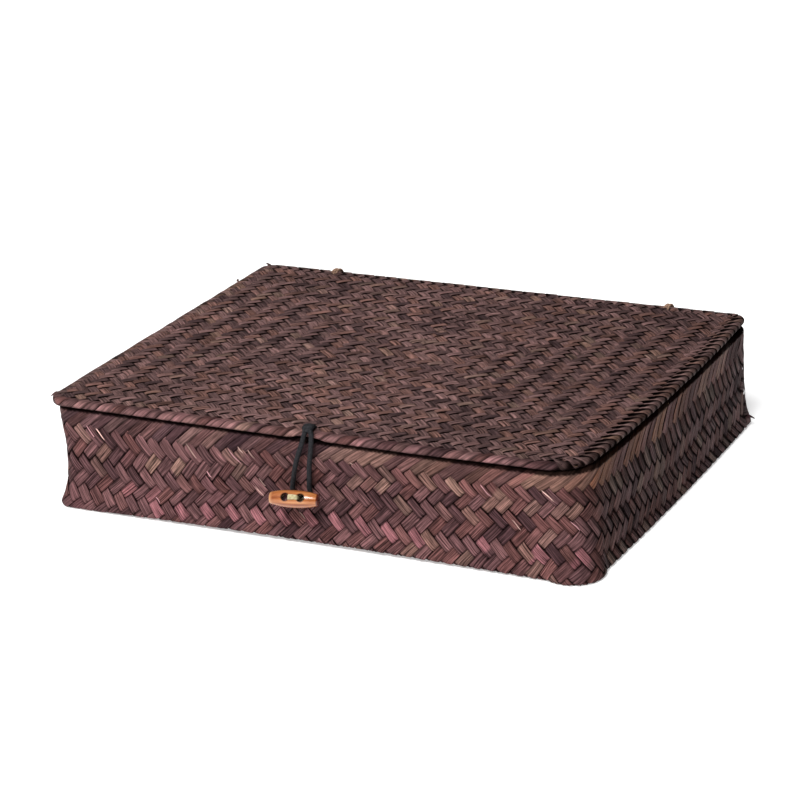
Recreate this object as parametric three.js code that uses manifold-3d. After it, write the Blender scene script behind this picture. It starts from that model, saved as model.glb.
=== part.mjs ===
// Woven lidded box: a shallow rectangular box plaited on the bias from flat
// leaf strips, with a flat lid lashed on at the back and a loop-and-toggle
// closure at the front. Millimetres, +Z up, front towards -Y.
import * as THREE from 'three';
import { mergeVertices } from 'three/addons/utils/BufferGeometryUtils.js';
import Module from 'manifold-3d';

// ---------------------------------------------------------------- dimensions
const GAP = 0.3;                 // clearance between touching pieces

// lid
const LID_W = 340;               // along X
const LID_FRONT = -136;          // front edge of the lid
const LID_BACK = 136;            // back edge of the lid
const LID_R = { fl: 11, fr: 26, br: 10, bl: 10 };
const LID_BULGE = 3.4;           // outward bow of the lid's right edge at its middle
const LID_Z0 = 65.4;             // underside of the lid border
const LID_Z1 = 70.3;             // top of the lid border
const WRAP_T = 0.7;              // wall of the border wrapping
const WRAP_WEB = 0.8;
const WRAP_LEG = 7.0;            // width of the border seen from above
const WRAP_ROUND = 1.7;          // rounding of the border's outer edge
const MAT_T = 1.3;               // one plaited lid panel
const LID_HOOP = 2.9;            // cane hoop inside the border

// body
const RIM_Z = 65.1;              // top of the rim band
const BAND_X = 169;              // left half width over the rim band
const BAND_XR = 170.6;           // right half width over the rim band
const BAND_BULGE = 1.8;          // outward bow of the right wall at its middle
const BAND_FRONT = -135;
const BAND_BACK = 134;
const BODY_R = { fl: 11, fr: 26, br: 10, bl: 10 };
const BAND_T = 0.9;              // outer leg of the folded band
const BAND_H = 12;               // depth of the outer leg
const BAND_IN_T = 0.8;
const BAND_IN_H = 9;
const BAND_TOP = 1.2;
const SKIN_T = 1.6;              // outer plaited skin
const LINING_T = 1.4;            // inner plaited skin
const RIM_HOOP = 2.5;            // cane hoop inside the rim
const RIM_HOOP_IN = 1.3;
const SKIN_IN = BAND_T + GAP;                       // 1.2
const LINING_IN = SKIN_IN + SKIN_T + GAP;           // 3.1
const BAND_IN = LINING_IN + LINING_T + GAP;         // 4.8
const BAND_W = BAND_IN + BAND_IN_T;                 // 5.6
const MAT_TOP_Z = RIM_Z - BAND_TOP - GAP - RIM_HOOP - GAP; // top edge of both skins
// outward bow of the walls at height z: flared foot, drawn-in middle; the
// right wall stands fuller
const BOW = [[0, 4.1], [2, 3.5], [5, 2.5], [8, 1.6], [12, 0.5], [16, -0.4], [20, -1.2], [25, -1.7],
  [30, -1.9], [35, -1.9], [40, -1.6], [45, -1.0], [50, -0.3], [52, 0], [80, 0]];
const BOW_R = [[0, 4.8], [2, 4.2], [5, 3.4], [10, 2.4], [17, 1.7], [25, 1.5], [33, 1.1], [45, 0.9], [49, 0.6], [53, 0], [80, 0]];

// lashed hinge
const HINGE_Y = BAND_BACK + 0.5; // hinge axis, parallel to X
const HINGE_Z = (RIM_Z + LID_Z0) / 2;
const TIE_X = 117;               // ties at plus and minus this
const TIE_W = 5.0;               // three turns of twine side by side
const TIE_R = 6.6;               // centreline radius round the hinge axis
const TIE_T = 1.3;               // twine diameter
const TIE_SLACK = 0.4;           // clearance in the holes

// toggle
const TOG_C = [-4.2, -143.4, 30.6];
const TOG_L = 28.8;
const TOG_R = 5.1;               // middle radius
const TOG_END_R = 3.4;
const TOG_HOLE_R = 2.2;
const TOG_HOLE_X = 5.1;          // holes at plus and minus this
const TOG_TILT = -0.3 * Math.PI / 180; // hangs level
const TOG_YAW = 12 * Math.PI / 180;    // right end sits nearer the wall
const TOG_ROLL = 35 * Math.PI / 180;   // holes look up and forward
const THREAD_R = 0.7;

// elastic cord
const CORD_D = 3.0;
const BORDER_C = [LID_FRONT + 2.45, (LID_Z0 + LID_Z1) / 2]; // centre of the border section (y, z)
const KNOT_A = 60 * Math.PI / 180;     // knot's place round the border, from the front towards the top
const KNOT_X = 3.1;

// ------------------------------------------------------------------- helpers
const wasm = await Module();
wasm.setup();

function solid(geometry) {
  const g = geometry.clone();
  g.deleteAttribute('normal');
  g.deleteAttribute('uv');
  const m = mergeVertices(g, 1e-4);
  const mesh = new wasm.Mesh({
    numProp: 3,
    vertProperties: new Float32Array(m.attributes.position.array),
    triVerts: new Uint32Array(m.index.array),
  });
  return new wasm.Manifold(mesh);
}

function geometryOf(manifold) {
  const mesh = manifold.getMesh();
  const g = new THREE.BufferGeometry();
  g.setAttribute('position', new THREE.BufferAttribute(new Float32Array(mesh.vertProperties), 3));
  g.setIndex(new THREE.BufferAttribute(new Uint32Array(mesh.triVerts), 1));
  g.computeVertexNormals();
  return g;
}

// rounded rectangle with its own radius at each corner, drawn inset by `d`
// and bowed outwards along its right side
function outline(xl, xr, y0, y1, r, d, bulge) {
  const s = new THREE.Shape();
  const rr = (v) => Math.max(v - d, 1.2);
  const [fl, fr, br, bl] = [rr(r.fl), rr(r.fr), rr(r.br), rr(r.bl)];
  const L = -xl + d, X = xr - d, F = y0 + d, B = y1 - d;
  s.moveTo(L + fl, F);
  s.lineTo(X - fr, F);
  s.absarc(X - fr, F + fr, fr, -Math.PI / 2, 0, false);
  for (let i = 1; i <= 8; i++) {
    const t = i / 8;
    s.lineTo(X + bulge * 4 * t * (1 - t), F + fr + (B - br - F - fr) * t);
  }
  s.absarc(X - br, B - br, br, 0, Math.PI / 2, false);
  s.lineTo(L + bl, B);
  s.absarc(L + bl, B - bl, bl, Math.PI / 2, Math.PI, false);
  s.lineTo(L, F + fl);
  s.absarc(L + fl, F + fl, fl, Math.PI, Math.PI * 1.5, false);
  return s;
}
const lidOutline = (d) => outline(LID_W / 2, LID_W / 2, LID_FRONT, LID_BACK, LID_R, d, LID_BULGE);
const bodyOutline = (d) => outline(BAND_X, BAND_XR, BAND_FRONT, BAND_BACK, BODY_R, d, BAND_BULGE);

function slab(shape, z0, z1, steps = 1) {
  const g = new THREE.ExtrudeGeometry(shape, { depth: z1 - z0, bevelEnabled: false, curveSegments: 3, steps });
  g.translate(0, 0, z0);
  return g;
}

// slab with rounded edges: the outline given is the largest one
function softSlab(inset, outlineAt, z0, z1, r, segments) {
  const g = new THREE.ExtrudeGeometry(outlineAt(inset + r), {
    depth: z1 - z0 - 2 * r, bevelEnabled: true, bevelThickness: r, bevelSize: r, bevelOffset: 0,
    bevelSegments: segments, curveSegments: 3, steps: 1,
  });
  g.translate(0, 0, z0 + r);
  return g;
}

function bowAt(z, table = BOW) {
  for (let i = 1; i < table.length; i++) {
    if (z <= table[i][0]) {
      const [a, fa] = table[i - 1], [b, fb] = table[i];
      return fa + (fb - fa) * (z - a) / (b - a);
    }
  }
  return 0;
}

// pushes the walls of a tall slab out and in with the bow of the box
function bowed(g) {
  const p = g.attributes.position;
  const cy = (BAND_FRONT + BAND_BACK) / 2, hy = (BAND_BACK - BAND_FRONT) / 2;
  for (let i = 0; i < p.count; i++) {
    const f = bowAt(p.getZ(i)), side = p.getX(i) > 0 ? bowAt(p.getZ(i), BOW_R) / BAND_XR : f / BAND_X;
    p.setX(i, p.getX(i) * (1 + side));
    p.setY(i, cy + (p.getY(i) - cy) * (1 + f / hy));
  }
  return g;
}

// ring of rectangular or chamfered section that follows an outline
function ring(outlineAt, inset, width, z0, z1, chamfer = 0) {
  const s = outlineAt(inset + chamfer);
  const holeShape = outlineAt(inset + width - chamfer);
  s.holes.push(holeShape);
  const g = new THREE.ExtrudeGeometry(s, chamfer
    ? { depth: z1 - z0 - 2 * chamfer, bevelEnabled: true, bevelThickness: chamfer, bevelSize: chamfer, bevelSegments: 1, curveSegments: 3, steps: 1 }
    : { depth: z1 - z0, bevelEnabled: false, curveSegments: 3, steps: 1 });
  g.translate(0, 0, z0 + chamfer);
  return g;
}

// tube along a smooth curve through points, with flat ends
function tube(points, rx, ry, sides, steps, tension = 'centripetal') {
  const s = new THREE.Shape();
  for (let i = 0; i < sides; i++) {
    const a = (i + 0.5) / sides * Math.PI * 2;
    if (i === 0) s.moveTo(rx * Math.cos(a), ry * Math.sin(a));
    else s.lineTo(rx * Math.cos(a), ry * Math.sin(a));
  }
  s.closePath();
  const path = new THREE.CatmullRomCurve3(points.map((p) => new THREE.Vector3(...p)), false, tension);
  return new THREE.ExtrudeGeometry(s, { steps, bevelEnabled: false, extrudePath: path });
}

// ring round the hinge axis, its profile given as [radius, x] pairs
function hingeRing(x, profile, segments) {
  const pts = profile.map(([r, h]) => new THREE.Vector2(r, h));
  pts.push(pts[0].clone());
  const g = new THREE.LatheGeometry(pts, segments);
  g.rotateZ(-Math.PI / 2);
  g.translate(x, HINGE_Y, HINGE_Z);
  return g;
}
// a ring's profile may run either way round; its solid has a positive volume
function ringSolid(x, profile, segments) {
  const m = solid(hingeRing(x, profile, segments));
  return m.volume() > 0 ? m : solid(hingeRing(x, profile.slice().reverse(), segments));
}

// ------------------------------------------------------------ cutting bodies
// clearance tunnels of the two ties
const tieTunnel = (x) => {
  const h = TIE_W / 2 + TIE_SLACK, r0 = TIE_R - TIE_T / 2 - TIE_SLACK, r1 = TIE_R + TIE_T / 2 + TIE_SLACK;
  return ringSolid(x, [[r0, -h], [r1, -h], [r1, h], [r0, h]], 40);
};
const tunnels = tieTunnel(-TIE_X).add(tieTunnel(TIE_X));

// slanted hole of the cord through the lid
const ROOT_PATH = [
  [KNOT_X, -125.6, 63.4],
  [KNOT_X, -126.6, 65.0],
  [KNOT_X, -128.2, 67.4],
  [KNOT_X, -130.0, 70.0],
  [KNOT_X, -131.3, 71.7],
  [KNOT_X, -132.6, 72.15],
];
const rootHole = solid(tube([[KNOT_X, -124.6, 61.0], [KNOT_X, -125.9, 63.8], ...ROOT_PATH.slice(1, 4), [KNOT_X, -131.2, 72.6]], 3.5, 1.9, 10, 14));

// hole of the sewing thread through both skins of the front wall
const THREAD_HOLE_Z = 28.6;
function threadHoleCut() {
  const g = new THREE.CylinderGeometry(2.1, 2.1, 14, 12);
  g.translate(TOG_C[0], -130.5, THREAD_HOLE_Z);
  return solid(g);
}

// -------------------------------------------------------------------- pieces
const material = (color, roughness, metalness = 0) => new THREE.MeshStandardMaterial({ color, roughness, metalness });
const group = new THREE.Group();
function piece(name, geometry, mat) {
  const mesh = new THREE.Mesh(geometry, mat);
  mesh.name = name;
  group.add(mesh);
  return mesh;
}

// body: outer plaited skin, walls and base in one mat
{
  const outer = solid(bowed(slab(bodyOutline(SKIN_IN), 0, MAT_TOP_Z, 10)));
  const inner = solid(bowed(slab(bodyOutline(SKIN_IN + SKIN_T), SKIN_T, MAT_TOP_Z + 5, 10)));
  piece('body_outer_weave', geometryOf(outer.subtract(inner).subtract(tunnels).subtract(threadHoleCut())), material(0x4a3236, 0.62));
}
// body: inner plaited skin
{
  const z0 = SKIN_T + GAP;
  const outer = solid(bowed(slab(bodyOutline(LINING_IN), z0, MAT_TOP_Z, 10)));
  const inner = solid(bowed(slab(bodyOutline(LINING_IN + LINING_T), z0 + LINING_T, MAT_TOP_Z + 5, 10)));
  piece('body_inner_weave', geometryOf(outer.subtract(inner).subtract(tunnels).subtract(threadHoleCut())), material(0x54383a, 0.65));
}
// body: folded rim band, an upside-down channel over both skins and the hoop
{
  const whole = solid(ring(bodyOutline, 0, BAND_W, RIM_Z - BAND_H, RIM_Z));
  const channel = solid(ring(bodyOutline, BAND_T, BAND_IN - BAND_T, RIM_Z - BAND_H - 1, RIM_Z - BAND_TOP));
  const shorter = solid(ring(bodyOutline, BAND_IN - 0.1, BAND_IN_T + 1, RIM_Z - BAND_H - 1, RIM_Z - BAND_IN_H));
  piece('rim_band', geometryOf(whole.subtract(channel).subtract(shorter).subtract(tunnels)), material(0x5a3a35, 0.6));
}
// body: cane hoop in the rim
{
  piece('rim_hoop', geometryOf(solid(ring(bodyOutline, RIM_HOOP_IN, RIM_HOOP, RIM_Z - BAND_TOP - GAP - RIM_HOOP, RIM_Z - BAND_TOP - GAP, 0.8))), material(0x9a7a52, 0.6));
}

// lid: wrapped border, a channel that opens inwards
{
  const whole = solid(softSlab(0, lidOutline, LID_Z0, LID_Z1, WRAP_ROUND, 3));
  const channel = solid(slab(lidOutline(WRAP_WEB), LID_Z0 + WRAP_T, LID_Z1 - WRAP_T));
  const hole = solid(slab(lidOutline(WRAP_LEG), LID_Z0 - 1, LID_Z1 + 1));
  piece('lid_border', geometryOf(whole.subtract(channel).subtract(hole).subtract(tunnels).subtract(rootHole)), material(0x5c3d3f, 0.58));
}
// lid: cane hoop in the border
{
  const z0 = LID_Z0 + WRAP_T + GAP;
  piece('lid_hoop', geometryOf(solid(ring(lidOutline, WRAP_WEB + GAP, LID_HOOP, z0, z0 + LID_HOOP, 0.8))), material(0x9a7a52, 0.6));
}
// lid: upper and lower plaited panels
const PANEL_IN = WRAP_WEB + GAP + LID_HOOP + GAP;
{
  const top = LID_Z1 - WRAP_T - GAP, bottom = LID_Z0 + WRAP_T + GAP;
  piece('lid_upper_panel', geometryOf(solid(slab(lidOutline(PANEL_IN), top - MAT_T, top)).subtract(tunnels).subtract(rootHole)), material(0x4d3438, 0.62));
  piece('lid_lower_panel', geometryOf(solid(slab(lidOutline(PANEL_IN), bottom, bottom + MAT_T)).subtract(tunnels).subtract(rootHole)), material(0x54383a, 0.65));
}

// twine ties: three turns side by side round the hinge axis
const tieProfile = (() => {
  const r = TIE_T / 2, n = 3, pitch = (TIE_W - TIE_T) / (n - 1), out = [], back = [];
  for (let k = 0; k < n; k++) {
    const c = -TIE_W / 2 + r + k * pitch;
    const a0 = k === 0 ? Math.PI : Math.PI * 0.72, a1 = k === n - 1 ? 0 : Math.PI * 0.28;
    const m = 3;
    for (let i = 0; i <= m; i++) {
      const a = a0 + (a1 - a0) * i / m;
      out.push([TIE_R + r * Math.sin(a), c + r * Math.cos(a)]);
      if (!((k === 0 && i === 0) || (k === n - 1 && i === m))) back.push([TIE_R - r * Math.sin(a), c + r * Math.cos(a)]);
    }
  }
  return [...out, ...back.reverse()];
})();
piece('hinge_tie_left', geometryOf(ringSolid(-TIE_X, tieProfile, 24)), material(0xc9ab86, 0.8));
piece('hinge_tie_right', geometryOf(ringSolid(TIE_X, tieProfile, 24)), material(0xc9ab86, 0.8));

// toggle: turned wooden barrel with two drilled holes
const toggleFrame = new THREE.Group();
toggleFrame.position.set(...TOG_C);
toggleFrame.rotation.set(0, -TOG_TILT, TOG_YAW, 'ZYX');
const rollFrame = new THREE.Group();
rollFrame.rotation.set(-TOG_ROLL, 0, 0);
toggleFrame.add(rollFrame);
group.add(toggleFrame);
{
  const pts = [new THREE.Vector2(0, -TOG_L / 2)];
  const n = 10;
  pts.push(new THREE.Vector2(TOG_END_R - 0.5, -TOG_L / 2));
  for (let i = 0; i <= n; i++) {
    const t = -1 + 2 * i / n;
    pts.push(new THREE.Vector2(TOG_END_R + (TOG_R - TOG_END_R) * (1 - Math.pow(Math.abs(t), 2.2)), t * (TOG_L / 2 - 0.5)));
  }
  pts.push(new THREE.Vector2(TOG_END_R - 0.5, TOG_L / 2));
  pts.push(new THREE.Vector2(0, TOG_L / 2));
  const g = new THREE.LatheGeometry(pts, 24);
  g.rotateZ(-Math.PI / 2);
  let m = solid(g);
  for (const s of [-1, 1]) {
    const c = new THREE.CylinderGeometry(TOG_HOLE_R, TOG_HOLE_R, 14, 14);
    c.translate(s * TOG_HOLE_X, 0, 0);
    m = m.subtract(solid(c));
  }
  const mesh = new THREE.Mesh(geometryOf(m), material(0xb8622c, 0.35));
  mesh.name = 'toggle';
  rollFrame.add(mesh);
}

// sewing thread: from a stitch inside the wall, out through one hole, apart
// behind the toggle, up through both of its holes and across the front
{
  toggleFrame.updateMatrixWorld(true);
  const local = (x, y, z) => {
    const v = new THREE.Vector3(x, y, z).applyEuler(new THREE.Euler(-TOG_ROLL, 0, 0));
    v.applyEuler(new THREE.Euler(0, -TOG_TILT, TOG_YAW, 'ZYX'));
    return [v.x + TOG_C[0], v.y + TOG_C[1], v.z + TOG_C[2]];
  };
  const clear = TOG_R + GAP + THREAD_R;
  const leg = (s) => solid(tube([
    [TOG_C[0] + s * 0.35, -126.6, THREAD_HOLE_Z], [TOG_C[0] + s * 0.5, -129.5, THREAD_HOLE_Z], [TOG_C[0] + s * 0.55, -133.0, THREAD_HOLE_Z],
    [TOG_C[0] + s * 0.7, -136.0, THREAD_HOLE_Z - 0.3], local(s * 1.6, clear + 0.25, 0), local(s * 3.6, clear + 0.15, 0), local(s * 4.85, clear - 0.7, 0),
    local(s * TOG_HOLE_X, 3, 0), local(s * TOG_HOLE_X, 0, 0), local(s * TOG_HOLE_X, -3, 0),
    local(s * 4.7, -clear + 0.75, 0), local(s * 3.0, -clear - 0.05, 0), local(-s * 0.4, -clear - 0.1, 0),
  ], THREAD_R, THREAD_R, 6, 36));
  const stitch = (() => {
    const g = new THREE.SphereGeometry(2.6, 12, 8);
    g.scale(1, 0.5, 0.8);
    g.translate(TOG_C[0], -127.0, THREAD_HOLE_Z);
    return solid(g);
  })();
  piece('toggle_thread', geometryOf(leg(-1).add(leg(1)).add(stitch)), material(0xcbb184, 0.8));
}

// elastic cord: root through the lid, knot on the border, hanging loop
piece('cord_root', tube(ROOT_PATH, 2.9, 1.4, 10, 10), material(0x15161a, 0.7));
{
  const g = new THREE.SphereGeometry(1, 14, 10);
  g.scale(3.8, 3.4, 1.75);
  g.rotateX(Math.PI / 2 - KNOT_A);
  const R = (LID_Z1 - LID_Z0) / 2 + GAP + 1.75;
  g.translate(KNOT_X, BORDER_C[0] - R * Math.cos(KNOT_A), BORDER_C[1] + R * Math.sin(KNOT_A));
  piece('cord_knot', g, material(0x15161a, 0.7));
}
{
  const g = new THREE.SphereGeometry(3.2, 14, 10);
  g.scale(1.15, 1, 0.9);
  g.translate(KNOT_X, -124.9, 60.0);
  piece('cord_stop_knot', g, material(0x15161a, 0.7));
}
const LOOP_PATH = [
  [1.9, -138.2, 69.2], [1.2, -138.0, 65.0], [-1.4, -137.7, 57.0], [-4.3, -137.0, 49.0], [-7.1, -135.6, 41.0], [-9.0, -135.1, 36.0],
  [-9.9, -134.8, 31.5], [-9.4, -134.8, 27.9], [-7.5, -134.8, 25.4], [-4.2, -134.8, 24.4], [-0.9, -134.8, 25.4], [1.1, -134.8, 27.9],
  [1.5, -134.8, 31.5], [1.3, -135.1, 36.0], [1.9, -135.6, 41.2], [3.2, -137.0, 50.0], [4.8, -137.7, 58.0], [5.9, -138.0, 65.0], [6.2, -138.2, 69.2],
];
piece('elastic_loop', tube(LOOP_PATH, CORD_D / 2, CORD_D / 2, 8, 44), material(0x15161a, 0.7));

// the part's origin: centre of the underside of everything but the cord
{
  group.updateMatrixWorld(true);
  const box = new THREE.Box3();
  group.traverse((o) => {
    if (o.isMesh && !['cord_root', 'cord_knot', 'cord_stop_knot', 'elastic_loop'].includes(o.name)) box.expandByObject(o, true);
  });
  const c = box.getCenter(new THREE.Vector3());
  group.position.set(-c.x, -c.y, -box.min.z);
  group.updateMatrixWorld(true);
}

export default group;
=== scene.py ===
import bpy, bmesh, math
import numpy as np
from mathutils import Vector, Matrix


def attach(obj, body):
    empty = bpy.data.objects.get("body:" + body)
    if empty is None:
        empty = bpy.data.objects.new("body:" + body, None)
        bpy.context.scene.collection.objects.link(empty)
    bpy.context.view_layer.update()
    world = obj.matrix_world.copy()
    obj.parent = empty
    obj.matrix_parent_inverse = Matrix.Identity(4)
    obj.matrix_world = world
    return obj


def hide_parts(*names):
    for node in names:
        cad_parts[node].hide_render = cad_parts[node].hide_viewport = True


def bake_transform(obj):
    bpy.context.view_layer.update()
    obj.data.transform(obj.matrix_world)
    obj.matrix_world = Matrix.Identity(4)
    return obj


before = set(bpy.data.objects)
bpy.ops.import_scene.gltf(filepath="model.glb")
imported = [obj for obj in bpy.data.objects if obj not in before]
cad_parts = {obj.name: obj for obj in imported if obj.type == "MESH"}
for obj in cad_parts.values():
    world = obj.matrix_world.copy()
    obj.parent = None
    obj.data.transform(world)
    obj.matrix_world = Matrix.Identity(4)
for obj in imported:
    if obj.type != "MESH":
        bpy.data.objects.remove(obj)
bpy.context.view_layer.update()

scene = bpy.context.scene
DX, DY = -2.07299, 3.95926       # the row frame's shift from the drawing's, mm


def row(p):
    """drawing millimetres to row-frame metres"""
    p = np.asarray(p, float)
    return (p + np.array([DX, DY, 0.0])) / 1000.0


def lin(r, g, b):
    c = np.array([r, g, b], float) / 255.0
    return np.where(c <= 0.04045, c / 12.92, ((c + 0.055) / 1.055) ** 2.4)


# ------------------------------------------------------------------- camera
cam_data = bpy.data.cameras.new("camera")
cam_data.lens = 125.406
cam_data.sensor_width = 36.0
cam_data.sensor_fit = "HORIZONTAL"
cam_data.clip_start = 0.05
cam_data.clip_end = 30.0
cam = bpy.data.objects.new("camera", cam_data)
scene.collection.objects.link(cam)
right = Vector((0.89882984, 0.43606506, -0.04418359))
up = -Vector((0.11487219, -0.33165515, -0.93638093))
back = -Vector((-0.42297672, 0.83657165, -0.34819329))
m = Matrix((right, up, back)).transposed().to_4x4()
m.translation = Vector((0.710317, -1.418074, 0.63142))
cam.matrix_world = m
scene.camera = cam


# ------------------------------------------------------------ mesh building
class Mesh:
    """collects grids of quads with strip coordinates and colours"""

    def __init__(self):
        self.v, self.q, self.st, self.col, self.n = [], [], [], [], 0

    def grid(self, P, st, col, N=None, close=False):
        r, c = P.shape[:2]
        idx = self.n + np.arange(r * c).reshape(r, c)
        if close:
            idx = np.concatenate([idx, idx[:, :1]], 1)
        q = np.stack([idx[:-1, :-1], idx[:-1, 1:], idx[1:, 1:], idx[1:, :-1]], -1)
        if N is not None:
            a = P[1:, :-1] - P[:-1, :-1]
            b = P[:-1, 1:] - P[:-1, :-1]
            flip = (np.cross(b, a) * N[:-1, :-1]).sum(-1).mean() < 0
            if flip:
                q = q[..., ::-1]
        self.q.append(q.reshape(-1, 4))
        self.v.append(P.reshape(-1, 3))
        self.st.append(np.broadcast_to(st, P.shape).reshape(-1, 3))
        self.col.append(np.broadcast_to(col, P.shape).reshape(-1, 3))
        self.n += r * c

    def count(self):
        return sum(len(q) for q in self.q) * 2

    def build(self, name, mat):
        V = row(np.concatenate(self.v))
        Q = np.concatenate(self.q)
        me = bpy.data.meshes.new(name)
        me.from_pydata(V.tolist(), [], Q.tolist())
        a = me.attributes.new("strip", "FLOAT_VECTOR", "POINT")
        a.data.foreach_set("vector", np.concatenate(self.st).astype(np.float32).ravel())
        c = np.concatenate(self.col).astype(np.float32)
        a = me.attributes.new("tint", "FLOAT_COLOR", "POINT")
        a.data.foreach_set("color", np.concatenate([c, np.ones((len(c), 1), np.float32)], 1).ravel())
        me.shade_smooth()
        me.materials.append(mat)
        o = bpy.data.objects.new(name, me)
        scene.collection.objects.link(o)
        return o


def smooth(x, a, b):
    x = np.clip((x - a) / (b - a), 0, 1)
    return x * x * (3 - 2 * x)


def value_noise(x, seed):
    """smooth 1-D noise in -1..1"""
    x = np.asarray(x, float)
    i = np.floor(x).astype(np.int64)
    f = x - i
    f = f * f * (3 - 2 * f)

    def h(k):
        k = (k * 374761393 + seed * 668265263) & 0x7FFFFFFF
        k = ((k ^ (k >> 13)) * 1274126177) & 0x7FFFFFFF
        return ((k ^ (k >> 16)) & 0xFFFF) / 32767.5 - 1.0
    return h(i) * (1 - f) + h(i + 1) * f


def hash01(a, b, seed=0):
    """repeatable random numbers in 0..1 for integer pairs"""
    a = np.asarray(a).astype(np.int64)
    b = np.asarray(b).astype(np.int64)
    k = (a * 73856093 ^ b * 19349663 ^ (seed * 83492791 + 12345)) & 0x7FFFFFFF
    k = ((k ^ (k >> 13)) * 1274126177) & 0x7FFFFFFF
    k = ((k ^ (k >> 15)) * 668265263) & 0x7FFFFFFF
    return ((k ^ (k >> 16)) & 0xFFFFF) / 1048575.0


# --------------------------------------------------------- outlines (drawing)
def outline(xl, xr, y0, y1, r, d, bulge=0.0, step=0.5):
    """rounded rectangle inset by d, its right side bowed out; counterclockwise from the middle of the front; points, outward normals, arc length"""
    rr = {k: max(v - d, 1.2) for k, v in r.items()}
    XL, XR, F, B = -(xl - d), xr - d, y0 + d, y1 - d
    P, N = [], []

    def line(a, b, n):
        L = math.dist(a, b)
        k = max(int(L / step), 1)
        for i in range(k):
            t = i / k
            P.append([a[0] + (b[0] - a[0]) * t, a[1] + (b[1] - a[1]) * t])
            N.append(n)

    def arc(cx, cy, rad, a0):
        k = max(int(rad * math.pi / 2 / step), 6)
        for i in range(k):
            a = a0 + math.pi / 2 * i / k
            P.append([cx + rad * math.cos(a), cy + rad * math.sin(a)])
            N.append([math.cos(a), math.sin(a)])
    line((0, F), (XR - rr["fr"], F), [0, -1])
    arc(XR - rr["fr"], F + rr["fr"], rr["fr"], -math.pi / 2)
    ya, yb = F + rr["fr"], B - rr["br"]
    k = int((yb - ya) / step)
    for i in range(k):
        t = i / k
        P.append([XR + bulge * 4 * t * (1 - t), ya + (yb - ya) * t])
        g = bulge * 4 * (1 - 2 * t) / (yb - ya)
        N.append([1 / math.hypot(1, g), -g / math.hypot(1, g)])
    arc(XR - rr["br"], B - rr["br"], rr["br"], 0)
    line((XR - rr["br"], B), (XL + rr["bl"], B), [0, 1])
    arc(XL + rr["bl"], B - rr["bl"], rr["bl"], math.pi / 2)
    line((XL, B - rr["bl"]), (XL, F + rr["fl"]), [-1, 0])
    arc(XL + rr["fl"], F + rr["fl"], rr["fl"], math.pi)
    line((XL + rr["fl"], F), (0, F), [0, -1])
    P, N = np.array(P), np.array(N, float)
    seg = np.linalg.norm(np.roll(P, -1, 0) - P, axis=1)
    s = np.concatenate([[0], np.cumsum(seg)])
    L = s[-1]
    P = np.concatenate([P, P[:1]])
    N = np.concatenate([N, N[:1]])
    return {"s": s, "P": P, "N": N, "L": L, "box": (xl, xr, y0, y1, bulge)}


def on_outline(o, U):
    u = np.mod(U, o["L"])
    x = np.interp(u, o["s"], o["P"][:, 0])
    y = np.interp(u, o["s"], o["P"][:, 1])
    nx = np.interp(u, o["s"], o["N"][:, 0])
    ny = np.interp(u, o["s"], o["N"][:, 1])
    l = np.hypot(nx, ny)
    return x, y, nx / l, ny / l


LID_R = {"fl": 11, "fr": 26, "br": 10, "bl": 10}
BODY = outline(169, 170.6, -135, 134, LID_R, 0, 1.8)
LID = outline(170, 170, -136, 136, LID_R, 0, 3.4)
BOW = np.array([[0, 4.1], [2, 3.5], [5, 2.5], [8, 1.6], [12, .5], [16, -.4], [20, -1.2], [25, -1.7], [30, -1.9], [35, -1.9],
                [40, -1.6], [45, -1.0], [50, -.3], [52, 0], [80, 0]], float)
BOW_R = np.array([[0, 4.8], [2, 4.2], [5, 3.4], [10, 2.4], [17, 1.7], [25, 1.5], [33, 1.1], [45, .9], [49, .6], [53, 0], [80, 0]], float)


def bow(z):
    return np.interp(z, BOW[:, 0], BOW[:, 1])


def profile_surface(out, table, warp=None):
    """surface swept along an outline: table rows are V, offset outward, z, normal outward, normal z"""
    T = np.array(table, float)

    def surf(U, V):
        x, y, nx, ny = on_outline(out, U)
        if warp is not None:
            V = V + warp(x, y, V)
        o = np.interp(V, T[:, 0], T[:, 1])
        z = np.interp(V, T[:, 0], T[:, 2])
        no = np.interp(V, T[:, 0], T[:, 3])
        nz = np.interp(V, T[:, 0], T[:, 4])
        l = np.hypot(no, nz)
        no, nz = no / l, nz / l
        px, py = x + nx * o, y + ny * o
        if out is BODY:
            f = bow(z)
            foot = 13.0 * np.clip(nx, 0, 1) * np.clip(-ny, 0, 1) * np.clip(1 - z / 30, 0, 1) ** 1.3
            px, py = px + nx * foot, py + ny * foot
            px = px * np.where(px < 0, 1 + np.where(f < 0, 0.25 * f, f) / 169, 1 + np.interp(z, BOW_R[:, 0], BOW_R[:, 1]) / 170.6)
            py = (py + 0.5) * (1 + f / 134.5) - 0.5
            lift = 1.7 * np.clip(1 - (px / 150) ** 2, 0, 1) * smooth(-py, 100, 130)
            z = z + lift * np.clip(1 - z / 26, 0, 1)
        else:
            edge_ = smooth(V, 0, 6.5)
            tip = 2.2 * np.clip(-nx, 0, 1) * np.clip(-ny, 0, 1) * smooth(V, 6.8, 9.5)
            px, py = px + nx * tip, py + ny * tip
            px = px - 1.0 * smooth(-px, 140, 166)
            hang = np.clip(-ny, 0, 1) * (1 - 0.6 * smooth(px, 60, 135)) * (1 - np.exp(-((px - 1.5) / 9.0) ** 4)) * edge_
            py, z = py - 0.9 * hang, z - 1.25 * hang * smooth(V, 9.6, 12.6)
        P = np.stack([px, py, z], -1)
        N = np.stack([nx * no, ny * no, nz], -1)
        return P, N
    return surf


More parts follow.
